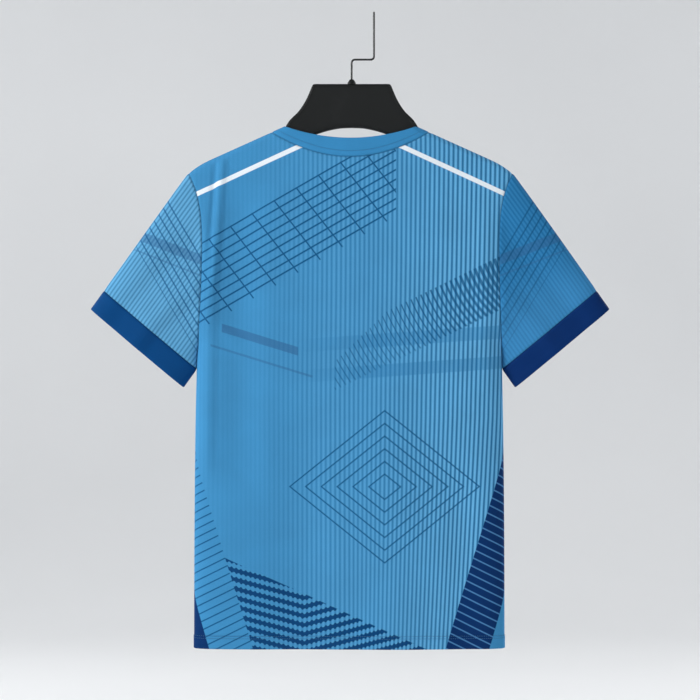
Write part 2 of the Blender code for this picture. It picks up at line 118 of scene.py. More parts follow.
# Half sections of the body, from the hem to the tip of the shoulder:
# height, half width, depth of the back, depth of the front
LEVELS = np.array([
    (-0.8715, 0.2113, 0.0245, 0.0290),
    (-0.7230, 0.2109, 0.0265, 0.0320),
    (-0.6130, 0.2100, 0.0270, 0.0330),
    (-0.5400, 0.2089, 0.0267, 0.0331),
    (-0.4910, 0.2078, 0.0260, 0.0325),
    (-0.4596, 0.2070, 0.0255, 0.0320),
    (-0.4300, 0.2058, 0.0250, 0.0310),
    (-0.3850, 0.2036, 0.0240, 0.0300),
    (-0.3000, 0.2030, 0.0225, 0.0270),
    (-0.2706, 0.2055, 0.0220, 0.0260),
    (-0.2432, 0.2118, 0.0215, 0.0250),
    (-0.2218, 0.2210, 0.0210, 0.0240),
])

# Soft folds of the body, which the solids have too: each runs from its top to its low end
Fold = namedtuple("Fold", "side top_x top_z low_x low_z half_width rise")
FOLDS = [Fold(*row) for row in (
    (BACK, -0.190, -0.290, -0.196, -0.660, 0.016, 0.0034),
    (BACK, -0.152, -0.215, -0.150, -0.680, 0.046, -0.0050),
    (BACK, 0.182, -0.250, 0.186, -0.520, 0.020, 0.0018),
    (BACK, -0.060, -0.520, -0.074, -0.960, 0.060, -0.0030),
    (BACK, 0.050, -0.480, 0.066, -0.960, 0.065, 0.0030),
    (BACK, 0.150, -0.600, 0.160, -0.960, 0.038, -0.0026),
    (FRONT, -0.186, -0.230, -0.190, -0.540, 0.018, 0.0030),
    (FRONT, 0.186, -0.215, 0.190, -0.580, 0.018, 0.0036),
    (FRONT, 0.152, -0.230, 0.150, -0.560, 0.026, -0.0030),
    (FRONT, -0.090, -0.250, -0.030, -0.420, 0.030, 0.0024),
    (FRONT, 0.085, -0.250, 0.034, -0.400, 0.028, 0.0020),
    (FRONT, -0.080, -0.500, -0.096, -0.960, 0.058, 0.0034),
    (FRONT, 0.020, -0.470, 0.012, -0.960, 0.062, -0.0034),
    (FRONT, 0.120, -0.560, 0.134, -0.960, 0.046, 0.0028),
)]
FOLD_FADE = 0.070

# Finer creases of the cloth that shows, too low for the solids
CREASES = [Fold(*row) for row in (
    (BACK, -0.1725, -0.165, -0.1880, -0.400, 0.0090, 0.0025),
    (BACK, -0.1820, -0.175, -0.1945, -0.350, 0.0065, -0.0015),
    (BACK, -0.196, -0.400, -0.120, -0.500, 0.0180, 0.0008),
    (BACK, 0.196, -0.410, 0.130, -0.520, 0.0170, 0.0007),
    (BACK, 0.120, -0.210, 0.128, -0.360, 0.0200, 0.0008),
    (FRONT, -0.196, -0.400, -0.110, -0.520, 0.0190, 0.0010),
    (FRONT, 0.196, -0.410, 0.120, -0.510, 0.0180, 0.0009),
    (FRONT, -0.120, -0.215, -0.130, -0.380, 0.0180, 0.0008),
)]
CREASE_FADE = 0.050
RIDGE_CALM = 0.014

# Sleeves and cuffs, as seen flat: each corner is (distance from the middle, height)
UNDERARM_BEND = (0.2092, -0.4680)
CUFF_SEAM_LOW = (0.2099, -0.4876)
OVERARM_BEND = (0.2275, -0.2282)
CUFF_SEAM_TOP = (0.3364, -0.3818)
CUFF_WIDTH = 0.0311
CUFF_DEPTH = 0.0150
CUFF_FLARE = 0.08
CUFF_ROUNDNESS = 3.0
CUFF_RUN = np.array(CUFF_SEAM_TOP) - OVERARM_BEND
CUFF_RUN_LENGTH = math.hypot(*CUFF_RUN)
ARM_ALONG = CUFF_RUN / CUFF_RUN_LENGTH
ARM_ACROSS = np.array([-ARM_ALONG[1], ARM_ALONG[0]])

# Soft folds of a sleeve: across is 0 at the underarm and 1 at the top, from armhole to cuff
SleeveFold = namedtuple("SleeveFold", "hand side across_start across_end half_width rise")
SLEEVE_FOLDS = [SleeveFold(*row) for row in (
    (LEFT, BACK, 0.30, 0.52, 0.13, 0.0026),
    (LEFT, BACK, 0.58, 0.76, 0.14, -0.0022),
    (RIGHT, BACK, 0.26, 0.44, 0.14, 0.0024),
    (RIGHT, BACK, 0.66, 0.72, 0.15, -0.0020),
    (LEFT, FRONT, 0.34, 0.48, 0.14, 0.0026),
    (RIGHT, FRONT, 0.30, 0.56, 0.14, 0.0028),
    (RIGHT, FRONT, 0.64, 0.80, 0.13, -0.0020),
)]
SLEEVE_FOLD_RUN_IN = 0.35

# Hanger: distance from its middle, height of its upper edge, height of its lower edge
HANGER_EDGES = np.array([
    (0.0000, -0.0982, -0.1580),
    (0.0160, -0.0982, -0.1588),
    (0.0300, -0.0982, -0.1614),
    (0.0420, -0.0982, -0.1648),
    (0.0490, -0.0982, -0.1672),
    (0.0520, -0.0986, -0.1683),
    (0.0535, -0.0996, -0.1688),
    (0.0546, -0.1018, -0.1692),
    (0.0562, -0.1056, -0.1698),
    (0.0582, -0.1104, -0.1705),
    (0.0606, -0.1160, -0.1715),
    (0.0639, -0.1224, -0.1729),
    (0.0684, -0.1297, -0.1748),
    (0.0738, -0.1368, -0.1772),
    (0.0800, -0.1428, -0.1798),
    (0.0850, -0.1480, -0.1822),
    (0.0890, -0.1540, -0.1841),
    (0.0925, -0.1600, -0.1857),
    (0.1000, -0.1643, -0.1889),
    (0.1200, -0.1730, -0.1970),
    (0.1600, -0.1910, -0.2120),
    (0.1950, -0.2072, -0.2232),
    (0.2080, -0.2142, -0.2262),
    (0.2130, -0.2200, -0.2256),
])
HANGER_TIP_X = HANGER_EDGES[-1, 0]
HANGER_TOP_Z = HANGER_EDGES[0, 1]
HANGER_THICKNESS = 0.009
HANGER_SHIFT_X = 0.0016
HANGER_X = CENTRE_X + HANGER_SHIFT_X
HANGER_EDGE_RADIUS = 0.0015
HANGER_STEP = 0.0010
HANGER_SHARP = 32.0
RIM_INSET = 0.0030
RIM_RADIUS = 0.0016
RIM_PROUD = 0.0005
RIM_END_X = 0.196
# Faces that turn further to the side than this get the hanger edge's painted shade
EDGE_FACE_NORMAL = 0.80
BEAD_STEPS = 4

# Knob: profile of its turned cone as (radius, height above the hanger's top edge)
KNOB_HEIGHT = 0.0062
KNOB_CONE_SHARE = 0.70
KNOB_CONE_Z = KNOB_HEIGHT * (1.0 - KNOB_CONE_SHARE)
KNOB_PROFILE = ((0.0, KNOB_HEIGHT), (0.0025, KNOB_HEIGHT), (0.0031, KNOB_HEIGHT - 0.0006),
                (0.0054, KNOB_CONE_Z + 0.0004), (0.0057, KNOB_CONE_Z - 0.0002),
                (0.0057, 0.0), (0.0, 0.0))
KNOB_GAP = 0.0002
KNOB_STEPS = 40
WIRE_START_Z = HANGER_TOP_Z + KNOB_HEIGHT - 0.0020

# Fineness of the meshes that show, and of the lines along their seams
SIDE_SPACING = 1.7
SHOULDER_SPACING = 1.4
NECK_COLUMNS = 44
HALF_COLUMNS = 84
BODY_ROWS = 120
HEM_ROWS = 14
ARMHOLE_ROWS = 74
SLEEVE_ROWS = 48
CUFF_ROWS = 10
COLLAR_ROWS = 12
ARC_STEPS = 24
FLAT_STEPS = 24
LEVEL_SAMPLES = 1200
HANGER_SAMPLES = 900
NECK_SEAM_POINTS = 120
SHOULDER_SEAM_POINTS = 60
SIDE_SEAM_POINTS = 200
UNDERARM_SEAM_POINTS = 80
COLLAR_STITCH_POINTS = 160

# A piece of cloth: rows of points on its inner face, their places on the flat cloth, whether the
# rows close to rings, and each point's distance to the free edge
Piece = namedtuple("Piece", "points uv closed_round free_edge")


# ---------------------------------------------------------------- surfaces

def clamp(value):
    return np.clip(value, 0.0, 1.0)


def ease(share):
    share = clamp(share)
    return share * share * (3.0 - 2.0 * share)


def mix(start, end, share):
    return start + (end - start) * share


def points_at(*coordinates):
    """Points from their coordinates, each an array or one number."""
    return np.stack(np.broadcast_arrays(*coordinates), axis=-1)


def distances(points, axis):
    """Distance from the first point along each row or column of points."""
    steps = np.linalg.norm(np.diff(points, axis=axis), axis=-1)
    return np.insert(np.cumsum(steps, axis=axis), 0, 0.0, axis=axis)


def rounded(share, roundness):
    """Height of a round-cornered section at a share of its half width, 1 in the middle."""
    return (1.0 - clamp(np.abs(share)) ** roundness) ** (1.0 / roundness)


def swell(share):
    """Height of a soft fold at a share of its half width, 1 on its crest."""
    return 0.5 + 0.5 * np.cos(np.pi * np.minimum(1.0, np.abs(share)))


def smooth_line(table, column, places):
    """Values of a column at places, on a smooth line through the rows of a table."""
    starts, values = table[:, 0], table[:, column]
    slopes = np.diff(values) / np.diff(starts)
    last = slopes.size - 1
    index = np.clip(np.searchsorted(starts, places, side="right") - 1, 0, last)
    slope, span = slopes[index], np.diff(starts)[index]
    leave = mix(slopes[np.maximum(index - 1, 0)], slope, 0.5) - slope
    arrive = mix(slope, slopes[np.minimum(index + 1, last)], 0.5) - slope
    share = (places - starts[index]) / span
    straight = mix(values[index], values[index + 1], share)
    return straight + share * (1.0 - share) * span * ((1.0 - share) * leave - share * arrive)


LEVEL_HEIGHTS = np.linspace(LEVELS[0, 0], LEVELS[-1, 0], LEVEL_SAMPLES)
HALF_WIDTHS, BACK_DEPTHS, FRONT_DEPTHS = (
    smooth_line(LEVELS, column, LEVEL_HEIGHTS) for column in (1, 2, 3))
DEPTHS = {BACK: BACK_DEPTHS, FRONT: FRONT_DEPTHS}


def half_width(z):
    """Distance from the middle to the side seam, or above it to the armhole."""
    return np.interp(z, LEVEL_HEIGHTS, HALF_WIDTHS)


def shoulder_line(x):
    """Height of the shoulder's ridge. Over the open neck it runs on as a low arch."""
    x = np.abs(x)
    arch = SHOULDER_SLOPE * (COLLAR_POINT_X ** 2 - x ** 2) / (2.0 * COLLAR_POINT_X)
    droop = np.maximum(0.0, x - DROOP_START_X) / (SHOULDER_TIP_X - DROOP_START_X)
    slope = -SHOULDER_SLOPE * (x - COLLAR_POINT_X) - TIP_DROOP * droop ** 3
    return COLLAR_POINT_Z + np.where(x < COLLAR_POINT_X, arch, slope)


def fold_relief(folds, fade, side, x, z):
    """How far the folds of one side move its cloth out at a place."""
    relief = np.zeros(np.broadcast(x, z).shape)
    for fold in folds:
        if fold.side == side:
            inside_ends = np.minimum(fold.top_z - z, z - fold.low_z)
            down = (fold.top_z - z) / (fold.top_z - fold.low_z)
            across = (x - mix(fold.top_x, fold.low_x, down)) / fold.half_width
            relief += fold.rise * swell(across) * ease(inside_ends / fade)
    return relief


def cloth_depth(side, x, z):
    """Distance of the back or front cloth from the shirt's middle plane."""
    drop = np.maximum(0.0, shoulder_line(x) - z)
    cap_drop = np.minimum(drop, RIDGE_RADIUS)
    cap = np.sqrt(cap_drop * (2.0 * RIDGE_RADIUS - cap_drop))
    widening = np.interp(z, LEVEL_HEIGHTS, DEPTHS[side]) - RIDGE_RADIUS
    widening = widening * (1.0 - np.exp(-drop / WIDENING_LENGTH))
    openness = ARMHOLE_OPENNESS * ease((z - ARMPIT_Z) / ARMHOLE_ROUNDING)
    edge = rounded((1.0 - openness) * x / half_width(z), SIDE_ROUNDNESS)
    relief = fold_relief(FOLDS, FOLD_FADE, side, x, z)
    relief = relief + fold_relief(CREASES, CREASE_FADE, side, x, z)
    return (cap + widening + relief * ease(drop / RIDGE_CALM)) * edge


def cloth_surface(side, x, z):
    return points_at(x, side * np.maximum(cloth_depth(side, x, z), 0.5 * SEAM_GAP), z)


def flat_distance(side, x, z):
    """Distance from the middle line to a place, along the cloth at one height."""
    steps = 1.0 - (1.0 - np.linspace(0.0, 1.0, FLAT_STEPS + 1)) ** SIDE_SPACING
    line_x = x[..., None] * steps
    line_y = cloth_depth(side, line_x, np.broadcast_to(z[..., None], line_x.shape))
    lengths = np.hypot(np.diff(line_x), np.diff(line_y)).sum(axis=-1)
    return np.copysign(lengths, x)


def neck_curve(end_x, low_z, side, share):
    """A point of a curve round the neck: share is 0 in the middle and 1 on the shoulder."""
    rise = shoulder_line(end_x) - low_z[side]
    return end_x * share, low_z[side] + rise * np.abs(share) ** NECK_ROUNDNESS[side]


neckline = partial(neck_curve, NECK_POINT_X, NECK_SEAM_Z)
collar_top = partial(neck_curve, COLLAR_POINT_X, COLLAR_TOP_Z)


def neck_share(column):
    return np.sin(0.5 * np.pi * column / NECK_COLUMNS)


def panel_top(side, columns):
    """The points of a panel's top edge: the neckline, then the shoulder seam."""
    neck_x, neck_z = neckline(side, neck_share(np.clip(columns, -NECK_COLUMNS, NECK_COLUMNS)))
    inwards = clamp((HALF_COLUMNS - np.abs(columns)) / (HALF_COLUMNS - NECK_COLUMNS))
    shoulder_x = mix(SHOULDER_TIP_X, NECK_POINT_X, inwards ** SHOULDER_SPACING)
    shoulder_x = np.copysign(shoulder_x, columns)
    on_neck = np.abs(columns) <= NECK_COLUMNS
    return (np.where(on_neck, neck_x, shoulder_x),
            np.where(on_neck, neck_z, shoulder_line(shoulder_x)))


def column_share(columns):
    """Place of a column between the middle and the side, closer together at the side."""
    return np.copysign(1.0 - (1.0 - np.abs(columns) / HALF_COLUMNS) ** SIDE_SPACING, columns)


# Rows from the armpit, 0, to the shoulder tip, 1, closer together at both ends
ARMHOLE_SHARES = 0.5 - 0.5 * np.cos(np.pi * np.arange(ARMHOLE_ROWS + 1) / ARMHOLE_ROWS)


def armhole_point(share):
    z = mix(ARMPIT_Z, shoulder_line(SHOULDER_TIP_X), share)
    return half_width(z), z


def panel(side):
    """The back or front, row by row from the hem up to the neckline and shoulder seams."""
    columns = np.arange(-HALF_COLUMNS, HALF_COLUMNS + 1) * -side
    across = column_share(columns)[None, :]
    edge_heights = HEM_Z + EDGE_STEPS
    hem_top = HEM_Z + HEM_FINE_SHARE * HEM_TURN_UP
    hem_heights = np.linspace(edge_heights[-1], hem_top, HEM_ROWS, endpoint=False)[1:]
    heights = np.linspace(hem_top, ARMPIT_Z, BODY_ROWS, endpoint=False)
    low_z = np.concatenate([edge_heights, hem_heights, heights])
    low_z = np.repeat(low_z[:, None], across.size, axis=1)
    share = ARMHOLE_SHARES[:, None]
    edge_x, edge_z = armhole_point(share)
    top_x, top_z = panel_top(side, columns)
    armpit_x = half_width(ARMPIT_Z)
    bulge = across * (edge_x - mix(armpit_x, SHOULDER_TIP_X, share))
    high_x = mix(across * armpit_x, top_x[None, :], share) + bulge
    high_z = edge_z + share * (top_z[None, :] - shoulder_line(SHOULDER_TIP_X))
    x = np.concatenate([across * half_width(low_z), high_x])
    z = np.concatenate([low_z, high_z])
    uv = points_at(-side * flat_distance(side, x, z), z)
    return Piece(cloth_surface(side, x, z), uv, False, z - HEM_Z)


def bend_line(start, control, end, share):
    """Points of a curve that leaves start towards control and arrives at end."""
    return [mix(mix(a, b, share), mix(b, c, share), share)
            for a, b, c in zip(start, control, end)]


def sleeve_flat(across, along):
    """The sleeve seen flat, between armhole, cuff seam, underarm and overarm."""
    armpit, tip, armhole = (armhole_point(share) for share in (0.0, 1.0, across))
    underarm = bend_line(armpit, UNDERARM_BEND, CUFF_SEAM_LOW, along)
    overarm = bend_line(tip, OVERARM_BEND, CUFF_SEAM_TOP, along)
    flat = []
    for axis in range(2):
        cuff_seam = mix(CUFF_SEAM_LOW[axis], CUFF_SEAM_TOP[axis], across)
        corners = mix(mix(armpit[axis], tip[axis], across), cuff_seam, along)
        flat.append(mix(armhole[axis], cuff_seam, along)
                    + mix(underarm[axis], overarm[axis], across) - corners)
    return flat


def sleeve_relief(hand, side, across, along):
    relief = np.zeros(np.broadcast(across, along).shape)
    for fold in SLEEVE_FOLDS:
        if (fold.hand, fold.side) == (hand, side):
            crest = mix(fold.across_start, fold.across_end, along)
            run_in = ease(along / SLEEVE_FOLD_RUN_IN)
            relief += fold.rise * swell((across - crest) / fold.half_width) * run_in
    return relief


def cuff_depth(across):
    return CUFF_DEPTH * rounded(2.0 * across - 1.0, CUFF_ROUNDNESS)


def tucked(depth):
    """Depth of a seam allowance, which lies inside the cloth at that depth."""
    return np.maximum(depth - ALLOWANCE_DEPTH, ALLOWANCE_LEAST_SHARE * depth)


def arm_uv(points):
    """Distances on the cloth from the overarm fold and along the sleeve, for one side of it."""
    flat = points_at(np.abs(points[..., 0]), points[..., 2])
    along, across = flat @ ARM_ALONG, flat @ ARM_ACROSS
    steps = np.hypot(np.diff(across, axis=1), np.diff(points[..., 1], axis=1))
    from_top = np.insert(np.cumsum(steps[:, ::-1], axis=1), 0, 0.0, axis=1)[:, ::-1]
    return points_at(from_top + np.dot(CUFF_SEAM_TOP, ARM_ACROSS) - across[:, -1:], along)


def arm_piece(hand, side_points, free_edge=None):
    """Joins the back and the front of a sleeve or cuff to rings, which face outwards."""
    def ring(make):
        joined = np.concatenate([make(BACK), make(FRONT)[:, -2:0:-1]], axis=1)
        return joined if hand == LEFT else joined[:, ::-1]
    points, uv = ring(side_points), ring(lambda side: arm_uv(side_points(side)))
    if free_edge is not None:
        free_edge = np.broadcast_to(free_edge, points.shape[:2])
    return Piece(points, np.concatenate([uv, uv[:, :1]], axis=1), True, free_edge)


# Places on a sleeve's ring, and those of a seam allowance, a little inside both of its folds
ACROSS = ARMHOLE_SHARES[None, :]
TUCKED_ACROSS = 0.5 + (ACROSS - 0.5) * ALLOWANCE_RING_SHARE


def armhole_line(hand, side, share):
    """Distance from the middle, depth and height of the armhole seam."""
    x, z = armhole_point(share)
    return x, cloth_depth(side, hand * x, z), z


def sleeve(hand):
    """Rings from the seam allowance in the armhole to the cuff seam."""
    along = np.linspace(0.0, 1.0, SLEEVE_ROWS + 1)[:, None]

    def side_points(side):
        x, z = sleeve_flat(ACROSS, along)
        depth = mix(armhole_line(hand, side, ACROSS)[1], cuff_depth(ACROSS), ease(along))
        depth = depth + sleeve_relief(hand, side, ACROSS, along)
        outside = points_at(hand * (x + SEAM_LIP * (1.0 - along)), side * depth, z)
        seam_x, seam_depth, seam_z = armhole_line(hand, side, TUCKED_ACROSS)
        inside_x = hand * (seam_x - ALLOWANCE_REACHES[:, None])
        return np.concatenate([points_at(inside_x, side * tucked(seam_depth), seam_z), outside])

    return arm_piece(hand, side_points)


def cuff(hand):
    """Rings from the cuff seam to the open end, along the sleeve's direction."""
    rows = np.linspace(SEAM_LIP, CUFF_WIDTH - EDGE_ROLL, CUFF_ROWS, endpoint=False)
    lengths = np.concatenate([-ALLOWANCE_REACHES, rows, CUFF_WIDTH - EDGE_STEPS[::-1]])[:, None]
    inside = lengths < 0.0

    def side_points(side):
        x, z = (np.where(inside, inner, outer) for inner, outer in
                zip(sleeve_flat(TUCKED_ACROSS, 1.0), sleeve_flat(ACROSS, 1.0)))
        out = lengths / CUFF_RUN_LENGTH
        depth = cuff_depth(ACROSS) * (1.0 + CUFF_FLARE * clamp(lengths / CUFF_WIDTH))
        depth = depth + sleeve_relief(hand, side, ACROSS, 1.0)
        depth = np.where(inside, tucked(depth), depth)
        return points_at(hand * (x + CUFF_RUN[0] * out), side * depth, z + CUFF_RUN[1] * out)

    return arm_piece(hand, side_points, CUFF_WIDTH - lengths)


def collar():
    """Rings from the seam allowance under the panels to the collar's top edge."""
    columns = np.arange(-NECK_COLUMNS, NECK_COLUMNS)
    shares = np.linspace(0.0, 1.0, COLLAR_ROWS, endpoint=False)[:, None]
    halves, edges = [], []
    for side in (BACK, FRONT):
        share = neck_share(-side * columns)[None, :]
        (seam_x, seam_z), (top_x, top_z) = neckline(side, share), collar_top(side, share)
        band = np.hypot(top_x - seam_x, top_z - seam_z)
        lengths = np.concatenate([0.0 * band - ALLOWANCE_REACHES[:, None],
                                  mix(SEAM_LIP, band - EDGE_ROLL, shares),
                                  band - EDGE_STEPS[::-1, None]])
        inside = lengths < 0.0
        x, z = mix(seam_x, top_x, lengths / band), mix(seam_z, top_z, lengths / band)
        depth = np.where(inside, tucked(cloth_depth(side, seam_x, seam_z)),
                         cloth_depth(side, x, z))
        z = np.where(inside, z - ALLOWANCE_DEPTH * share ** COLLAR_TUCK_POWER, z)
        halves.append(points_at(x, side * depth, z))
        edges.append(band - lengths)
    points = np.concatenate(halves, axis=1)
    closed = np.concatenate([points, points[:, :1]], axis=1)
    seam_row = ALLOWANCE_REACHES.size
    around = distances(closed[seam_row:seam_row + 1], axis=1)
    up = distances(closed, axis=0)
    uv = points_at(around, up - up[seam_row])
    return Piece(points, uv, True, np.concatenate(edges, axis=1))


# ---------------------------------------------------------------- meshes

def put_in_place(points):
    """From the shirt's own middle to the frame of the solids."""
    drift = HANG_DRIFT * ease((DRIFT_TOP_Z - points[..., 2]) / DRIFT_RUN)
    return points + np.array([CENTRE_X, PLANE_Y, 0.0]) + points_at(drift, 0.0, 0.0)


def new_object(name, data):
    thing = bpy.data.objects.new(name, data)
    bpy.context.scene.collection.objects.link(thing)
    return thing


def plain_mesh(source):
    """The shape of an object with its modifiers, as a mesh. The object itself goes."""
    evaluated = source.evaluated_get(bpy.context.evaluated_depsgraph_get())
    mesh = bpy.data.meshes.new_from_object(evaluated)
    bpy.data.objects.remove(source)
    return mesh


def mesh_points(mesh):
    points = np.zeros(len(mesh.vertices) * 3)
    mesh.vertices.foreach_get("co", points)
    return points.reshape(-1, 3)


def finish_mesh(name, mesh, sharp_degrees, materials):
    mesh.shade_smooth()
    mesh.set_sharp_from_angle(angle=math.radians(sharp_degrees))
    for material in materials:
        mesh.materials.append(material)
    return new_object(name, mesh)


def distances_to(targets, points):
    """Each point's distance to the nearest of the targets."""
    tree = KDTree(len(targets))
    for number, target in enumerate(targets):
        tree.insert(target, number)
    tree.balance()
    return np.array([tree.find(point)[2] for point in points])


def densify(line):
    """More points on a line, so that the nearest one is never far."""
    lengths = distances(line, axis=0)
    places = np.linspace(0.0, lengths[-1], max(2, int(lengths[-1] / SEAM_SPACING)))
    return points_at(*(np.interp(places, lengths, line[:, axis]) for axis in range(3)))


def seam_wall(piece, seam_points, wall):
    """The cloth's thickness, which dips to the seams and rounds off to a free edge."""
    distance = distances_to(seam_points, piece.points.reshape(-1, 3))
    distance = distance.reshape(piece.points.shape[:2])
    if piece.closed_round:
        distance[:ALLOWANCE_REACHES.size] = 0.0
    thickness = mix(SEAM_WALL, wall, ease(distance / SEAM_ROLL))
    if piece.free_edge is not None:
        inwards = clamp(piece.free_edge / EDGE_ROLL)
        edge_shape = np.sqrt(1.0 - (1.0 - inwards) ** 2)
        thickness = thickness * mix(EDGE_WALL_SHARE, 1.0, edge_shape)
    return thickness


def outward_normals(piece):
    points = piece.points
    if piece.closed_round:
        across = np.roll(points, -1, axis=1) - np.roll(points, 1, axis=1)
    else:
        across = np.gradient(points, axis=1)
    normals = np.cross(across, np.gradient(points, axis=0))
    return normals / np.maximum(np.linalg.norm(normals, axis=-1, keepdims=True), 1e-12)


def quads(first_count, second_count, turned=False):
    """The two places of each corner of the quads on a grid, as two arrays."""
    first, second = np.indices((first_count - 1, second_count - 1)).reshape(2, -1, 1)
    first, second = first + np.array([0, 0, 1, 1]), second + np.array([0, 1, 1, 0])
    return (first[:, ::-1], second[:, ::-1]) if turned else (first, second)


def make_cloth(name, piece, wall, materials, seam_points):
    """A thin closed shell. Its inner face is the piece's surface, with the wall outside it."""
    rows, columns = piece.points.shape[:2]
    thickness = seam_wall(piece, seam_points, wall)
    outer = piece.points + outward_normals(piece) * thickness[..., None]
    points = put_in_place(np.stack([piece.points, outer]).reshape(-1, 3))

    # each corner is (outer or inner face, row, column): both faces first, then the rims
    places = columns + 1 if piece.closed_round else columns
    parts = [points_at(1, *quads(rows, places)), points_at(0, *quads(rows, places, True))]
    for row, turned in ((0, False), (rows - 1, True)):
        face, column = quads(2, places, turned)
        parts.append(points_at(face, row, column))
    if not piece.closed_round:
        for column, turned in ((0, True), (columns - 1, False)):
            face, row = quads(2, rows, turned)
            parts.append(points_at(face, row, column))
    face, row, column = np.moveaxis(np.concatenate(parts), -1, 0)

    mesh = bpy.data.meshes.new(name)
    corners = (face * rows + row) * columns + column % columns
    mesh.from_pydata(points.tolist(), [], corners.tolist())
    slots = np.repeat([0, 1] + [0] * (len(parts) - 2), [len(part) for part in parts])
    mesh.polygons.foreach_set("material_index", slots.astype(np.int32))
    uv = piece.uv[row, column].astype(np.float32).ravel()
    mesh.uv_layers.new(name="cloth_flat").data.foreach_set("uv", uv)
    distance = distances_to(put_in_place(seam_points), points).astype(np.float32)
    mesh.attributes.new("seam_distance", "FLOAT", "POINT").data.foreach_set("value", distance)
    return finish_mesh(name, mesh, CLOTH_SHARP, materials)


def turned_mesh(name, profile, steps):
    """A profile of (radius, height) turned once round the upright axis."""
    mesh = bpy.data.meshes.new(name)
    edges = [(index, index + 1) for index in range(len(profile) - 1)]
    mesh.from_pydata([(radius, 0.0, z) for radius, z in profile], edges, [])
    source = new_object(name, mesh)
    screw = source.modifiers.new("turned", "SCREW")
    screw.steps = screw.render_steps = steps
    screw.use_merge_vertices = True
    screw.merge_threshold = 0.00001
    return plain_mesh(source)


# ---------------------------------------------------------------- node trees

# Softness of the edges of printed areas, of thin lines and of bold ones
SOFTNESS = 0.0010
LINE_SOFTNESS = 0.0007
BOLD_SOFTNESS = 0.0008


class Wire:
    """An output of a node, which takes part in Python expressions."""

    def __init__(self, graph, socket):
        self.graph, self.socket = graph, socket

    def output(self, name):
        """Another output of the same node."""
        return Wire(self.graph, self.socket.node.outputs[name])

    def math(self, operation, *others, clamped=False):
        return self.graph.math(operation, self, *others, clamped=clamped)

    __add__ = __radd__ = partialmethod(math, "ADD")
    __mul__ = __rmul__ = partialmethod(math, "MULTIPLY")
    __sub__ = partialmethod(math, "SUBTRACT")
    __truediv__ = partialmethod(math, "DIVIDE")
    __abs__ = partialmethod(math, "ABSOLUTE")
    at_least = partialmethod(math, "MAXIMUM")
    sine = partialmethod(math, "SINE")
    root = partialmethod(math, "SQRT")

    def __rsub__(self, other):
        return self.graph.math("SUBTRACT", other, self)

    def to_nearest_line(self, pitch):
        """Distance to the nearest of the lines that lie a pitch apart."""
        return self.math("PINGPONG", 0.5 * pitch)

    def above(self, limit, softness=SOFTNESS):
        """0 below the limit, 1 above it, with a soft change between."""
        return self.math("MULTIPLY_ADD", 1.0 / softness, 0.5 - limit / softness, clamped=True)

    def below(self, limit, softness=SOFTNESS):
        return self.math("MULTIPLY_ADD", -1.0 / softness, 0.5 + limit / softness, clamped=True)

    def ramp(self, low, high, at_low=0.0, at_high=1.0):
        """A smooth change from at_low to at_high between two places."""
        sockets = {"Value": self, "From Min": low, "From Max": high,
                   "To Min": at_low, "To Max": at_high}
        return self.graph.node("ShaderNodeMapRange", 0, sockets, interpolation_type="SMOOTHSTEP")


class Graph:
    """A node tree that is written as Python expressions."""

    def __init__(self, tree):
        self.tree = tree

    def feed(self, node, sockets):
        """Sets or links sockets of a node."""
        for name, value in sockets.items():
            if isinstance(value, Wire):
                self.tree.links.new(value.socket, node.inputs[name])
            else:
                node.inputs[name].default_value = value

    def shade(self, sockets):
        """Sets or links sockets of the material's shader."""
        self.feed(self.tree.nodes["Principled BSDF"], sockets)

    def node(self, kind, output=None, sockets=None, **settings):
        """A new node. Gives the wire of one output, or nothing if it has none."""
        made = self.tree.nodes.new(kind)
        for name, value in settings.items():
            setattr(made, name, value)
        self.feed(made, sockets or {})
        return None if output is None else Wire(self, made.outputs[output])

    def math(self, operation, *values, clamped=False):
        sockets = dict(enumerate(values))
        return self.node("ShaderNodeMath", 0, sockets, operation=operation, use_clamp=clamped)

    def blend(self, share, first, second, way="MIX"):
        """A colour between two colours, or with MULTIPLY their product."""
        return self.node("ShaderNodeMix", 2, {0: share, 6: first, 7: second},
                         data_type="RGBA", blend_type=way, clamp_factor=True)

    def noise(self, place, scale, detail, roughness):
        sockets = {"Vector": place, "Scale": scale, "Detail": detail, "Roughness": roughness}
        return self.node("ShaderNodeTexNoise", "Fac", sockets)

    def bump(self, height, strength, distance, **normal):
        sockets = {"Height": height, "Strength": strength, "Distance": distance, **normal}
        return self.node("ShaderNodeBump", "Normal", sockets)


def colour(red, green, blue):
    """A colour that is given as it looks, 0 to 255."""
    def linear(channel):
        share = channel / 255.0
        return share / 12.92 if share <= 0.04045 else ((share + 0.055) / 1.055) ** 2.4
    return (linear(red), linear(green), linear(blue), 1.0)


def new_material(name, looks):
    """An empty material and its graph."""
    material = bpy.data.materials.new(name)
    material.use_nodes = True
    material.diffuse_color = looks
    return material, Graph(material.node_tree)


# ---------------------------------------------------------------- knit

# Loops of the knit; its uneven dye as scale, detail and roughness of a noise
KNIT_COURSE, KNIT_WALE = 0.0011, 0.0013
DYE_CLOUDS = (16.0, 3.0, 0.55)
DYE_SPECKLES = (900.0, 1.0, 0.5)

# Distances over which painted shade darkens a seam, over which the seam dips, and over which a
# stitch line dips
SEAM_SHADE = (0.0003, 0.0022)
SEAM_DIP = 0.0025
STITCH_DIP = (0.0002, 0.0013)

# Relief, as strength and depth of a bump
LOOP_RELIEF = (0.35, 0.00025)
SEAM_RELIEF = (0.6, 0.0006)


def knit_height(across, along):
    """The tiny loops and eyelets of a micro-mesh knit, 0 to 1."""
    wales = (across * (2.0 * math.pi / KNIT_WALE)).sine()
    courses = (along * (2.0 * math.pi / KNIT_COURSE)).sine()
    eyelets = (across * (math.pi / KNIT_WALE)).sine() * (along * (math.pi / KNIT_COURSE)).sine()
    return 0.5 + 0.18 * wales + 0.14 * courses + 0.30 * (eyelets * eyelets)


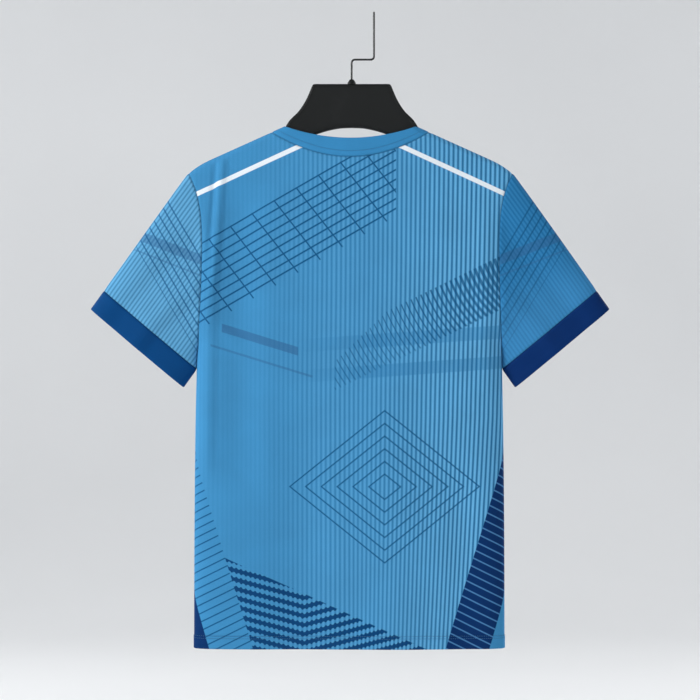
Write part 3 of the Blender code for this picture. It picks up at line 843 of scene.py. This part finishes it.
def knit(name, looks, pattern=None, roughness=0.80, painted_seam_shade=0.36, stitches_at=()):
    """A dyed or printed knit: its loops and seams, painted shade along seams and stitch lines, a
    little unevenness, and a soft sheen.
    """
    material, graph = new_material(name, looks)
    flat = graph.node("ShaderNodeUVMap", "UV", uv_map="cloth_flat")
    across = graph.node("ShaderNodeSeparateXYZ", "X", {0: flat})
    along = across.output("Y")
    base = pattern(graph, across, along) if pattern else looks
    seams = graph.node("ShaderNodeAttribute", "Fac", attribute_name="seam_distance")
    clouds = graph.noise(flat, *DYE_CLOUDS)
    speckles = graph.noise(flat, *DYE_SPECKLES)
    # painted shade: the cloth darkens near its seams, as in the shade of their grooves
    shade = 1.0 - painted_seam_shade * seams.ramp(*SEAM_SHADE, 1.0, 0.0)
    shade = shade * clouds.ramp(0.25, 0.75, 0.965, 1.035)
    shade = shade * speckles.ramp(0.3, 0.7, 0.955, 1.045)
    height = seams.ramp(0.0, SEAM_DIP)
    if stitches_at:
        sewn = reduce(Wire.at_least,
                      [abs(along - place).ramp(*STITCH_DIP, 1.0, 0.0) for place in stitches_at])
        # painted shade along the stitch lines, where the cloth dips
        shade = shade * (1.0 - 0.10 * sewn)
        height = height - 0.5 * sewn
    grey = graph.node("ShaderNodeCombineColor", 0, {0: shade, 1: shade, 2: shade})
    loops = graph.bump(knit_height(across, along), *LOOP_RELIEF)
    graph.shade({
        "Base Color": graph.blend(1.0, base, grey, "MULTIPLY"),
        "Roughness": clouds.ramp(0.2, 0.8, roughness - 0.05, roughness + 0.05),
        "Normal": graph.bump(height, *SEAM_RELIEF, Normal=loops),
        "Sheen Weight": 0.03, "Sheen Roughness": 0.45, "Specular IOR Level": 0.10})
    return material


# ---------------------------------------------------------------- print

Blues = namedtuple("Blues", "plain light dark line bar band grey navy pale")
INK = Blues(plain=colour(61, 137, 187), light=colour(105, 178, 225), dark=colour(40, 108, 154),
            line=colour(18, 82, 128), bar=colour(1, 58, 108), band=colour(44, 118, 170),
            grey=colour(50, 96, 142), navy=colour(4, 47, 99), pale=colour(78, 136, 190))
WHITE = colour(231, 238, 244)
INNER_BLUE = colour(120, 172, 207)
COLLAR_BLUE = colour(56, 135, 187)
SLEEVE_END_BLUE = colour(92, 168, 222)

# Upright stripes. They grow strong from the left over the middle to the right, and on the right
# they close up below a height and lean to the wedge
STRIPE_PITCH = 0.0064
STRIPE_DARK_SHARE = 0.46
STRIPE_SOFTNESS = 0.0019
STRIPE_STRONG_FROM, STRIPE_STRONG_TO = -0.15, 0.18
STRIPE_MIDDLE = 0.37
STRIPE_CLOSING = 0.13
STRIPE_TOP = -0.188
STRIPE_LEAN = 0.10

# Side wedges: their edge's slope and its distance from the middle at height 0, the width up to
# the second colour, and the slope, pitch and width of their lines
WEDGE_SLOPE = 0.3080
WEDGE_EDGE = 0.3985
WEDGE_SIDE = 0.2280
WEDGE_BAND = 0.0600
WEDGE_LINES = (0.50, 0.0118, 0.0020)

# Piping along the shoulders, and the upper end of the crossed lines below it
PIPING_SLOPE = 0.46
PIPING_EDGES = (-0.1560, -0.1490)
NET_TOP = -0.1600

# Sleeves: pitch and dark share of the stripes, and where they lighten to the cuff
SLEEVE_STRIPES = (0.0052, 0.40)
SLEEVE_END = (0.410, 0.500)


def stripes(across, pitch=STRIPE_PITCH, dark_share=STRIPE_DARK_SHARE):
    """Stripes at one pitch: 1 on the narrow dark ones, 0 on the wider light ones."""
    return across.to_nearest_line(pitch).below(0.5 * pitch * dark_share, STRIPE_SOFTNESS)


def hatch(coordinate, pitch, width):
    """Parallel lines of one width."""
    return coordinate.to_nearest_line(pitch).below(0.5 * width, LINE_SOFTNESS)


def swelling_lines(coordinate, pitch, width):
    """Parallel lines of a width that changes over the cloth."""
    return (width * 0.5 - coordinate.to_nearest_line(pitch)).above(0.0, BOLD_SOFTNESS)


def between(place, low, high, softness=SOFTNESS):
    """1 between two places, with soft edges."""
    return place.above(low, softness) * place.below(high, softness)


def slanted(across, along, degrees):
    """Distance across lines that rise by an angle to the right."""
    angle = math.radians(degrees)
    return across * -math.sin(angle) + along * math.cos(angle)


def diamond_net(across, along):
    """Two crossing sets of thin lines in a slanted band high on the left."""
    rising = slanted(across, along, degrees=30.0)
    lines = hatch(rising, pitch=0.0115, width=0.0022)
    lines = lines.at_least(hatch(slanted(across, along, degrees=-52.0), pitch=0.0345, width=0.0019))
    below_piping = (along + abs(across) * PIPING_SLOPE).below(NET_TOP)
    return lines * between(rising, -0.2737, -0.1714) * across.below(0.062) * below_piping


def arc_fan(across, along):
    """Round lines that widen towards the right side, between two slanted edges."""
    from_x, from_z = across - 0.300, along + 0.300
    radius = (from_x * from_x + from_z * from_z).root()
    rings = swelling_lines(radius, 0.0074, radius.ramp(0.085, 0.300, 0.0048, 0.0012))
    inside = between(slanted(across, along, degrees=26.0), -0.4560, -0.3900) * across.above(-0.020)
    return rings * inside * slanted(across, along, degrees=44.0).below(-0.3300)


def nested_diamonds(across, along):
    """Diamonds inside each other, right of the middle."""
    place = abs(across - 0.048) * 0.80 + abs(along + 0.6480)
    return hatch(place, pitch=0.0172, width=0.0021) * between(place, 0.0060, 0.1130)


def hem_bars(across, along, dark_stripe):
    """Bold bent bars low on the left, which the stripes break into dots."""
    bent = along - abs(across + 0.062) * 0.27
    bars = swelling_lines(bent, 0.0123, dark_stripe.ramp(0.0, 1.0, 0.0050, 0.0084))
    return bars * slanted(across, along, degrees=-24.3).below(-0.7486)


def body_print(graph, across, along, left_strength):
    """The generic printed design of the body, on its stripes."""
    side_place = abs(across)
    wedge_place = along * WEDGE_SLOPE + WEDGE_EDGE
    narrowing = (WEDGE_SIDE - wedge_place).at_least(0.0) / wedge_place.at_least(0.1)
    closing = (STRIPE_TOP - along).at_least(0.0) * STRIPE_CLOSING + narrowing * STRIPE_LEAN
    dark_stripe = stripes(across + across.at_least(0.0) * closing)

    # side wedges: navy with light lines on the right, light with dark ones on the left
    past_edge = side_place - wedge_place
    wedge = past_edge.above(0.0)
    sliver = past_edge.above(WEDGE_BAND)
    line_slope, *line_sizes = WEDGE_LINES
    wedge_lines = hatch(along + side_place * line_slope, *line_sizes)
    navy_wedge = graph.blend(wedge_lines * 0.80, INK.navy, INK.pale)
    navy_wedge = graph.blend(sliver, navy_wedge, INK.plain)
    light_wedge = graph.blend(wedge_lines * 0.90, INK.plain, INK.line)
    light_wedge = graph.blend(sliver, light_wedge, INK.navy)

    # faint broad bands, and greyish bars
    band_place = slanted(across, along, degrees=4.0)
    bands = between(band_place, -0.4600, -0.4420).at_least(between(band_place, -0.5010, -0.4840))
    grey_place = slanted(across, along, degrees=-17.0)
    grey_bar = between(grey_place, -0.4700, -0.4590) * between(across, -0.1750, -0.0700)
    thin_bar = between(grey_place, -0.4930, -0.4900) * between(across, -0.1900, -0.0500)

    strength = (across.ramp(STRIPE_STRONG_FROM, 0.0, left_strength, STRIPE_MIDDLE)
                + across.ramp(0.0, STRIPE_STRONG_TO, 0.0, 1.0 - STRIPE_MIDDLE))
    striped = graph.blend(dark_stripe, INK.light, INK.dark)
    ground = graph.blend(strength * (1.0 - wedge), INK.plain, striped)
    for share, ink in ((bands * across.above(-0.020, 0.120) * 0.40, INK.band),
                       (diamond_net(across, along) * 0.95, INK.line),
                       (arc_fan(across, along) * 0.80, INK.line),
                       (nested_diamonds(across, along) * 0.95, INK.line),
                       (hem_bars(across, along, dark_stripe) * 0.95, INK.bar),
                       (grey_bar * 0.60 + thin_bar * 0.45, INK.grey),
                       (wedge, graph.blend(across.above(0.0), light_wedge, navy_wedge))):
        ground = graph.blend(share, ground, ink)
    piping = between(along + side_place * PIPING_SLOPE, *PIPING_EDGES, BOLD_SOFTNESS)
    return graph.blend(piping, ground, WHITE)


def sleeve_print(graph, across, along, light, dark, strength, end_gain, plain):
    """Stripes along the sleeve, and a band of fine slanted lines. It may lighten to the cuff."""
    striped = graph.blend(stripes(across, *SLEEVE_STRIPES), light, dark)
    design = graph.blend(strength, plain, striped)
    upper, lower = slanted(across, along, degrees=24.0), slanted(across, along, degrees=-14.0)
    fine = hatch(upper, pitch=0.0098, width=0.0020) * between(upper, 0.315, 0.392)
    bar = between(lower, 0.398, 0.411) * 0.50 + between(lower, 0.4235, 0.4260) * 0.40
    for share, ink in ((bar, INK.grey), (fine * 0.75, INK.line),
                       (along.ramp(*SLEEVE_END, 0.0, end_gain), SLEEVE_END_BLUE)):
        design = graph.blend(share, design, ink)
    return design


# ---------------------------------------------------------------- thread, plastic, wire

def grained(name, looks, other, noise, roughness, bump=None, sheen=0.0):
    """A plain finish: one noise moves its colour, its roughness and its relief."""
    material, graph = new_material(name, looks)
    grain = graph.noise(graph.node("ShaderNodeTexCoord", "Object"), *noise)
    graph.shade({"Base Color": graph.blend(grain, looks, other),
                 "Roughness": grain.ramp(*roughness), "Sheen Weight": sheen})
    if bump:
        graph.shade({"Normal": graph.bump(grain, *bump)})
    return material


def moulded_plastic(name, looks, worn):
    """Satin black plastic, with the faint grain of its mould and a few rubbed places."""
    material, graph = new_material(name, looks)
    place = graph.node("ShaderNodeTexCoord", "Object")
    grain = graph.noise(place, 1400.0, 3.0, 0.6)
    rubbed = graph.noise(place, 28.0, 4.0, 0.62).ramp(0.55, 0.75)
    graph.shade({"Base Color": graph.blend(rubbed * 0.35, looks, worn),
                 "Roughness": grain.ramp(0.3, 0.7, 0.46, 0.54) - rubbed * 0.07,
                 "Normal": graph.bump(grain, 0.25, 0.00008), "Specular IOR Level": 0.22})
    return material


# ---------------------------------------------------------------- stitches and wire

def shape_tree(name, sizes, shape):
    """A geometry tree with named sizes, which gives the lines that it gets a shape."""
    tree = bpy.data.node_groups.new(name, "GeometryNodeTree")
    kinds = {"Geometry": "Geometry", **dict.fromkeys(sizes, "Float"), "Material": "Material"}
    for label, kind in kinds.items():
        tree.interface.new_socket(label, in_out="INPUT", socket_type="NodeSocket" + kind)
    tree.interface.new_socket("Geometry", in_out="OUTPUT", socket_type="NodeSocketGeometry")
    graph = Graph(tree)
    given = graph.node("NodeGroupInput", "Geometry")
    line = graph.node("GeometryNodeMeshToCurve", "Curve", {"Mesh": given})
    made = {"Geometry": shape(graph, given, line)}
    made = {"Geometry": graph.node("GeometryNodeSetShadeSmooth", "Geometry", made)}
    made = {"Geometry": graph.node("GeometryNodeRealizeInstances", "Geometry", made),
            "Material": given.output("Material")}
    made = {"Geometry": graph.node("GeometryNodeSetMaterial", "Geometry", made)}
    graph.node("NodeGroupOutput", None, made)
    return tree


def stitch_shape(graph, given, line):
    """Small long stitches laid end to end along every line."""
    spaced = graph.node("GeometryNodeResampleCurve", "Curve",
                        {"Curve": line, "Length": given.output("Pitch")}, mode="LENGTH")
    turn = graph.node("FunctionNodeAlignRotationToVector", "Rotation",
                      {"Vector": graph.node("GeometryNodeInputTangent", "Tangent")}, axis="X")
    stitch = graph.node("GeometryNodeMeshIcoSphere", "Mesh", {"Radius": 0.5, "Subdivisions": 1})
    width = given.output("Width")
    size = graph.node("ShaderNodeCombineXYZ", "Vector",
                      {"X": given.output("Length"), "Y": width, "Z": width})
    placed = {"Points": spaced, "Instance": stitch, "Rotation": turn, "Scale": size}
    return graph.node("GeometryNodeInstanceOnPoints", "Instances", placed)


def wire_shape(graph, given, line):
    """A round wire along a line, with closed ends."""
    ring = graph.node("GeometryNodeCurvePrimitiveCircle", "Curve",
                      {"Resolution": WIRE_SIDES, "Radius": given.output("Radius")})
    swept = {"Curve": line, "Profile Curve": ring, "Fill Caps": True}
    return graph.node("GeometryNodeCurveToMesh", "Mesh", swept)


def grow(name, lines, tree, sizes, material):
    """Runs a geometry tree on lines of points, and keeps the result as a plain mesh."""
    points, edges = [], []
    for line in lines:
        start = len(points)
        points += [tuple(point) for point in line]
        edges += [(start + index, start + index + 1) for index in range(len(line) - 1)]
    mesh = bpy.data.meshes.new(name + "_line")
    mesh.from_pydata(points, edges, [])
    source = new_object(name + "_line", mesh)
    modifier = source.modifiers.new("shape", "NODES")
    modifier.node_group = tree
    values = dict(sizes, Material=material)
    for item in tree.interface.items_tree:
        if item.in_out == "INPUT" and item.name in values:
            modifier[item.identifier] = values[item.name]
    made = plain_mesh(source)
    made.name = name
    return new_object(name, made)


def outer_line(points, side, lift):
    """A line on the cloth's outer face, lifted off the inner face along its normal."""
    outward = np.cross(np.gradient(points, axis=0), np.array([0.0, 0.0, 1.0]))
    outward *= np.sign(outward[:, 1:2] * side)
    outward /= np.linalg.norm(outward, axis=-1, keepdims=True)
    return put_in_place(points + outward * lift)


def hem_stitch_lines():
    lines = []
    for side in (BACK, FRONT):
        for up in HEM_STITCHES_UP:
            z = HEM_Z + up
            x = column_share(np.arange(-HALF_COLUMNS + 1, HALF_COLUMNS)) * half_width(z)
            lines.append(outer_line(cloth_surface(side, x, np.full_like(x, z)), side, HEM_WALL))
    return lines


def collar_stitch_lines():
    lines = []
    for side in (BACK, FRONT):
        share = neck_share(np.linspace(-NECK_COLUMNS, NECK_COLUMNS, COLLAR_STITCH_POINTS))
        (seam_x, seam_z), (top_x, top_z) = neckline(side, share), collar_top(side, share)
        up = COLLAR_STITCHES_UP / np.hypot(top_x - seam_x, top_z - seam_z)
        x, z = mix(seam_x, top_x, up), mix(seam_z, top_z, up)
        lines.append(outer_line(points_at(x, side * cloth_depth(side, x, z), z), side, WALL))
    return lines


# ---------------------------------------------------------------- hanger

def hanger_line(x, column):
    """Upper or lower edge of the hanger at places from one tip to the other."""
    sample = np.linspace(0.0, HANGER_TIP_X, HANGER_SAMPLES)
    return np.interp(np.abs(x), sample, smooth_line(HANGER_EDGES, column, sample))


def hanger_loop(inset, end_x):
    """The hanger's outline once round, drawn in by a distance."""
    x = np.linspace(-end_x, end_x, int(2.0 * end_x / HANGER_STEP) + 1)
    loop = []
    for column, sign, order in ((1, -1.0, 1), (2, 1.0, -1)):
        z = hanger_line(x, column)
        slope = np.gradient(z, x)
        length = np.hypot(1.0, slope)
        shifted_x = x - sign * inset * slope / length
        keep = np.abs(shifted_x) <= end_x
        loop.append(points_at(shifted_x, z + sign * inset / length)[keep][::order])
    return np.concatenate(loop)


def hanger_shape(loop, radius, extrude=0.0, y=0.0, filled=False):
    """A filled plate or a round bead on a loop. The curve lies flat and is stood up about X."""
    curve = bpy.data.curves.new("hanger_outline", "CURVE")
    curve.dimensions, curve.fill_mode = ("2D", "BOTH") if filled else ("3D", "FULL")
    curve.extrude = extrude
    curve.bevel_depth = radius
    curve.bevel_resolution = BEAD_STEPS
    spline = curve.splines.new("POLY")
    spline.points.add(len(loop) - 1)
    for point, (x, z) in zip(spline.points, loop):
        point.co = (x, z, y, 1.0)
    spline.use_cyclic_u = True
    mesh = plain_mesh(new_object("hanger_outline", curve))
    x, z, y = mesh_points(mesh).T
    points = put_in_place(points_at(x + HANGER_SHIFT_X, -y, z))
    mesh.vertices.foreach_set("co", points.ravel())
    mesh.update()
    return mesh


def join_meshes(name, meshes, materials):
    """One piece from meshes. A second, darker material goes on the faces that look to the sides:
    painted shade on the edges.
    """
    points, faces, start = [], [], 0
    for mesh in meshes:
        points.append(mesh_points(mesh))
        faces += [[start + index for index in face.vertices] for face in mesh.polygons]
        start += len(mesh.vertices)
    joined = bpy.data.meshes.new(name)
    joined.from_pydata(np.concatenate(points).tolist(), [], faces)
    thing = finish_mesh(name, joined, HANGER_SHARP, materials)
    if len(materials) > 1:
        for face in joined.polygons:
            face.material_index = int(abs(face.normal.y) < EDGE_FACE_NORMAL)
    return thing


def make_hanger_plate(materials):
    inset = HANGER_EDGE_RADIUS
    plate = hanger_shape(hanger_loop(inset, HANGER_TIP_X), inset,
                         extrude=0.5 * HANGER_THICKNESS - inset, filled=True)
    rim_loop = hanger_loop(RIM_INSET, RIM_END_X)
    rim_y = 0.5 * HANGER_THICKNESS + RIM_PROUD - RIM_RADIUS
    rims = [hanger_shape(rim_loop, RIM_RADIUS, y=sign * rim_y) for sign in (-1.0, 1.0)]
    return join_meshes("hanger_plate", [plate, *rims], materials)


def make_hanger_socket(material):
    """The socket of the wire: a small turned cone with a lip."""
    socket = turned_mesh("hanger_socket", KNOB_PROFILE, KNOB_STEPS)
    socket.transform(Matrix.Translation((HANGER_X, PLANE_Y, HANGER_TOP_Z + KNOB_GAP)))
    return join_meshes("hanger_socket", [socket], [material])


def corner_arc(before, corner, after, radius):
    """Points of a round bend in place of a square corner."""
    before, corner, after = (np.array(point) for point in (before, corner, after))
    enter = (before - corner) / np.linalg.norm(before - corner)
    leave = (after - corner) / np.linalg.norm(after - corner)
    angle = np.linspace(0.0, 0.5 * np.pi, ARC_STEPS + 1)[:, None]
    return corner + radius * (enter * (1.0 - np.sin(angle)) + leave * (1.0 - np.cos(angle)))


def hook_path():
    """The wire's middle line: up from the knob, a jog across, up, and over the crown."""
    start = (HANGER_X, PLANE_Y, WIRE_START_Z)
    low_corner, high_corner = (HANGER_X, PLANE_Y, JOG_Z), (0.0, PLANE_Y, JOG_Z)
    crown_z = WIRE_RADIUS - CROWN_RADIUS
    angle = np.linspace(0.0, np.pi, 2 * ARC_STEPS + 1)
    crown = points_at(0.0, -CROWN_RADIUS * np.cos(angle), crown_z + CROWN_RADIUS * np.sin(angle))
    return np.concatenate([
        [start], corner_arc(start, low_corner, high_corner, BEND_RADIUS),
        corner_arc(low_corner, high_corner, (0.0, PLANE_Y, crown_z), BEND_RADIUS),
        crown, [(0.0, CROWN_RADIUS, crown_z - TAIL_LENGTH)]])


# ---------------------------------------------------------------- the shirt

def mirrored(line):
    return [line, line * np.array([-1.0, 1.0, 1.0])]


def body_seams():
    """Points of the body's seams, on the cloth's inner face and seen from its own middle."""
    neck = neck_share(np.linspace(-NECK_COLUMNS, NECK_COLUMNS, NECK_SEAM_POINTS))
    lines = []
    for side in (BACK, FRONT):
        lines += mirrored(cloth_surface(side, *armhole_point(ARMHOLE_SHARES)))
        lines.append(cloth_surface(side, *neckline(side, neck)))
    x = np.linspace(NECK_POINT_X, SHOULDER_TIP_X, SHOULDER_SEAM_POINTS)
    z = np.linspace(HEM_Z, ARMPIT_Z, SIDE_SEAM_POINTS)
    lines += mirrored(points_at(x, 0.0, shoulder_line(x)))
    lines += mirrored(points_at(half_width(z), 0.0, z))
    return np.concatenate([densify(line) for line in lines])


def arm_seams(hand):
    """Points of the seams at armhole, cuff and underarm."""
    cuff_x, cuff_z = sleeve_flat(ARMHOLE_SHARES, 1.0)
    lines = []
    for side in (BACK, FRONT):
        x, depth, z = armhole_line(hand, side, ARMHOLE_SHARES)
        lines.append(points_at(hand * x, side * depth, z))
        depth = cuff_depth(ARMHOLE_SHARES) + sleeve_relief(hand, side, ARMHOLE_SHARES, 1.0)
        lines.append(points_at(hand * cuff_x, side * depth, cuff_z))
    under_x, under_z = sleeve_flat(0.0, np.linspace(0.0, 1.0, UNDERARM_SEAM_POINTS))
    lines.append(points_at(hand * under_x, 0.0, under_z))
    return np.concatenate([densify(line) for line in lines])


def make_shirt():
    """All cloth pieces, each under the name of the solid that it stands for."""
    inside = knit("inside_of_the_knit", INNER_BLUE, roughness=0.85, painted_seam_shade=0.25)
    seams = body_seams()
    shirt = {}
    for side, label, left_strength in ((BACK, "back", 0.05), (FRONT, "front", 0.30)):
        pattern = partial(body_print, left_strength=left_strength)
        printed = knit("printed_" + label, INK.plain, pattern,
                       stitches_at=[HEM_Z + up for up in HEM_STITCHES_UP])
        piece = panel(side)
        doubled = ease((HEM_Z + HEM_TURN_UP - piece.points[..., 2]) / HEM_STEP_RUN + 0.5)
        shirt[label + "_panel"] = make_cloth(label + "_cloth", piece, mix(WALL, HEM_WALL, doubled),
                                             [printed, inside], seams)

    # each sleeve's plain colour, the navy of its cuff, the colours and strength of its stripes, and
    # how far its end lightens. The plain and stripe colours are lighter on the left sleeve and
    # darker on the right: partly print, partly painted light and shade from the lamp on the left
    arms = (
        (LEFT, "left", colour(82, 149, 193), colour(2, 66, 122), dict(
            light=colour(101, 169, 211), dark=colour(54, 118, 161), strength=0.9, end_gain=0.0)),
        (RIGHT, "right", colour(40, 119, 172), colour(2, 44, 101), dict(
            light=colour(50, 130, 184), dark=colour(28, 102, 154), strength=0.7, end_gain=0.22)),
    )
    for hand, label, plain, navy, tones_and_painted_light in arms:
        pattern = partial(sleeve_print, plain=plain, **tones_and_painted_light)
        printed = knit(f"printed_{label}_sleeve", plain, pattern)
        banded = knit(f"navy_{label}_cuff", navy, roughness=0.78, painted_seam_shade=0.3)
        arm = arm_seams(hand)
        for part, piece, materials in (("sleeve", sleeve(hand), [printed, inside]),
                                       ("cuff", cuff(hand), [banded, banded])):
            name = f"{label}_{part}_cloth"
            shirt[f"{part}_{label}"] = make_cloth(name, piece, WALL, materials, arm)

    plain = knit("plain_collar", COLLAR_BLUE, roughness=0.74, painted_seam_shade=0.30,
                 stitches_at=[COLLAR_STITCHES_UP - SEAM_LIP])
    shirt["collar"] = make_cloth("collar_band", collar(), WALL, [plain, plain], seams)
    return shirt


def hang(thing, node=None):
    """Rides a piece, with the materials it already has, on the part's one body; where a solid is
    named, it hides that solid, and the piece stands in its place.
    """
    if node:
        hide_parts(node)
    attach(thing, "root")


plastic = moulded_plastic("satin_black_plastic", colour(22, 24, 24), colour(32, 34, 34))
# The hanger's edge faces get a darker black: painted shade where they turn away from the lamps
painted_edge_shade_plastic = moulded_plastic("black_plastic_painted_edge_shade", colour(9, 10, 10), colour(16, 17, 17))
black_wire = grained("black_wire", colour(26, 27, 28), colour(34, 35, 37), (260.0, 3.0, 0.55),
                     roughness=(0.3, 0.7, 0.26, 0.36), bump=(0.15, 0.0001))
bent_wire = shape_tree("bent_wire", ["Radius"], wire_shape)
hang(make_hanger_plate([plastic, painted_edge_shade_plastic]), "hanger_body")
hang(make_hanger_socket(plastic), "hanger_knob")
hang(grow("hanger_wire", [hook_path()], bent_wire, {"Radius": WIRE_RADIUS}, black_wire),
     "hanger_hook")

shirt = make_shirt()

blue = colour(44, 116, 166)
thread = grained("blue_thread", blue, (*(0.75 * part for part in blue[:3]), 1.0),
                 (2500.0, 2.0, 0.6), roughness=(0.2, 0.8, 0.5, 0.7), bump=(0.4, 0.0002), sheen=0.15)
stitching = shape_tree("sewn_stitches", STITCH_SIZES, stitch_shape)
hem_stitches = grow("hem_stitches", hem_stitch_lines(), stitching, STITCH_SIZES, thread)
collar_stitches = grow("collar_stitches", collar_stitch_lines(), stitching, STITCH_SIZES, thread)
hang(hem_stitches)
hang(collar_stitches)

# Solid, slot, flat width and length of each cut, its flat area where it isn't a rectangle, and
# the rows of stitches on it
for node, slot, flat, area, with_pieces in (
        ("back_panel", "shirt_cloth", (0.456, 0.715), 0.299, [hem_stitches]),
        ("front_panel", "shirt_cloth", (0.456, 0.715), 0.293, []),
        ("sleeve_left", "shirt_cloth", (0.36, 0.215), 0.0435, []),
        ("cuff_left", "cuff_cloth", (0.345, 0.0372), None, []),
        ("sleeve_right", "shirt_cloth", (0.36, 0.215), 0.0435, []),
        ("cuff_right", "cuff_cloth", (0.345, 0.0372), None, []),
        ("collar", "collar_cloth", (0.50, 0.0275), None, [collar_stitches])):
    hang(shirt[node], node)


# ---------------------------------------------------------------- stage, light and camera

FLOOR_Z = -1.32
FLOOR_RADII = (0.0, 1.0, 2.2)
FLOOR_STEPS = 72
COVE_FLAT_RADIUS = 3.6
COVE_RADIUS = 1.6
COVE_STEPS = 16
COVE_TOP_Z = 3.2
ROOM_COLOUR = (0.95, 0.97, 1.0, 1.0)
ROOM_STRENGTH = 0.34
LIGHT_TARGET = Vector((CENTRE_X, 0.0, -0.45))
VIEW_CENTRE = (-0.0329, -0.011, -0.4624)
CAMERA_DISTANCE = 3.0
FRAME_WIDTH = 0.959
SENSOR = 36.0

# Place, side of the square and power of each lamp
LAMPS = {
    "key_left": ((-3.4, -1.45, 1.1), 1.2, 119.0),
    "fill_right": ((2.2, -2.6, 0.0), 1.8, 7.5),
    "back_left": ((-2.0, 2.8, 1.0), 1.4, 30.0),
    "back_right": ((2.8, 2.2, 0.9), 1.4, 52.0),
}


def make_floor():
    """A pale floor that rises to a round wall far away."""
    profile = [(radius, FLOOR_Z) for radius in FLOOR_RADII]
    for angle in np.linspace(0.0, 0.5 * np.pi, COVE_STEPS + 1):
        profile.append((COVE_FLAT_RADIUS + COVE_RADIUS * math.sin(angle),
                        FLOOR_Z + COVE_RADIUS * (1.0 - math.cos(angle))))
    profile.append((COVE_FLAT_RADIUS + COVE_RADIUS, COVE_TOP_Z))
    mesh = turned_mesh("pale_floor", profile, FLOOR_STEPS)
    mesh.shade_smooth()
    mesh.materials.append(grained("pale_floor_paint", colour(238, 239, 240), colour(243, 244, 245),
                                  (1.4, 3.0, 0.5), roughness=(0.3, 0.7, 0.86, 0.94)))
    new_object("pale_floor", mesh)


def light_scene():
    world = bpy.data.worlds.new("pale_room")
    world.use_nodes = True
    background = world.node_tree.nodes["Background"]
    background.inputs["Color"].default_value = ROOM_COLOUR
    background.inputs["Strength"].default_value = ROOM_STRENGTH
    bpy.context.scene.world = world
    for name, (place, side, power) in LAMPS.items():
        light = bpy.data.lights.new(name, "AREA")
        light.size = side
        light.energy = power
        lamp = new_object(name, light)
        lamp.location = place
        direction = LIGHT_TARGET - Vector(place)
        lamp.rotation_euler = direction.to_track_quat("-Z", "Y").to_euler()


def add_camera():
    data = bpy.data.cameras.new("photo_view")
    data.sensor_width = SENSOR
    data.lens = SENSOR * CAMERA_DISTANCE / FRAME_WIDTH
    data.clip_start, data.clip_end = 0.05, 40.0
    camera = new_object("photo_view", data)
    x, y, z = VIEW_CENTRE
    camera.location = (x, y - CAMERA_DISTANCE, z)
    camera.rotation_euler = (0.5 * math.pi, 0.0, 0.0)
    bpy.context.scene.camera = camera
    bpy.context.scene.view_settings.view_transform = "Standard"


make_floor()
light_scene()
add_camera()
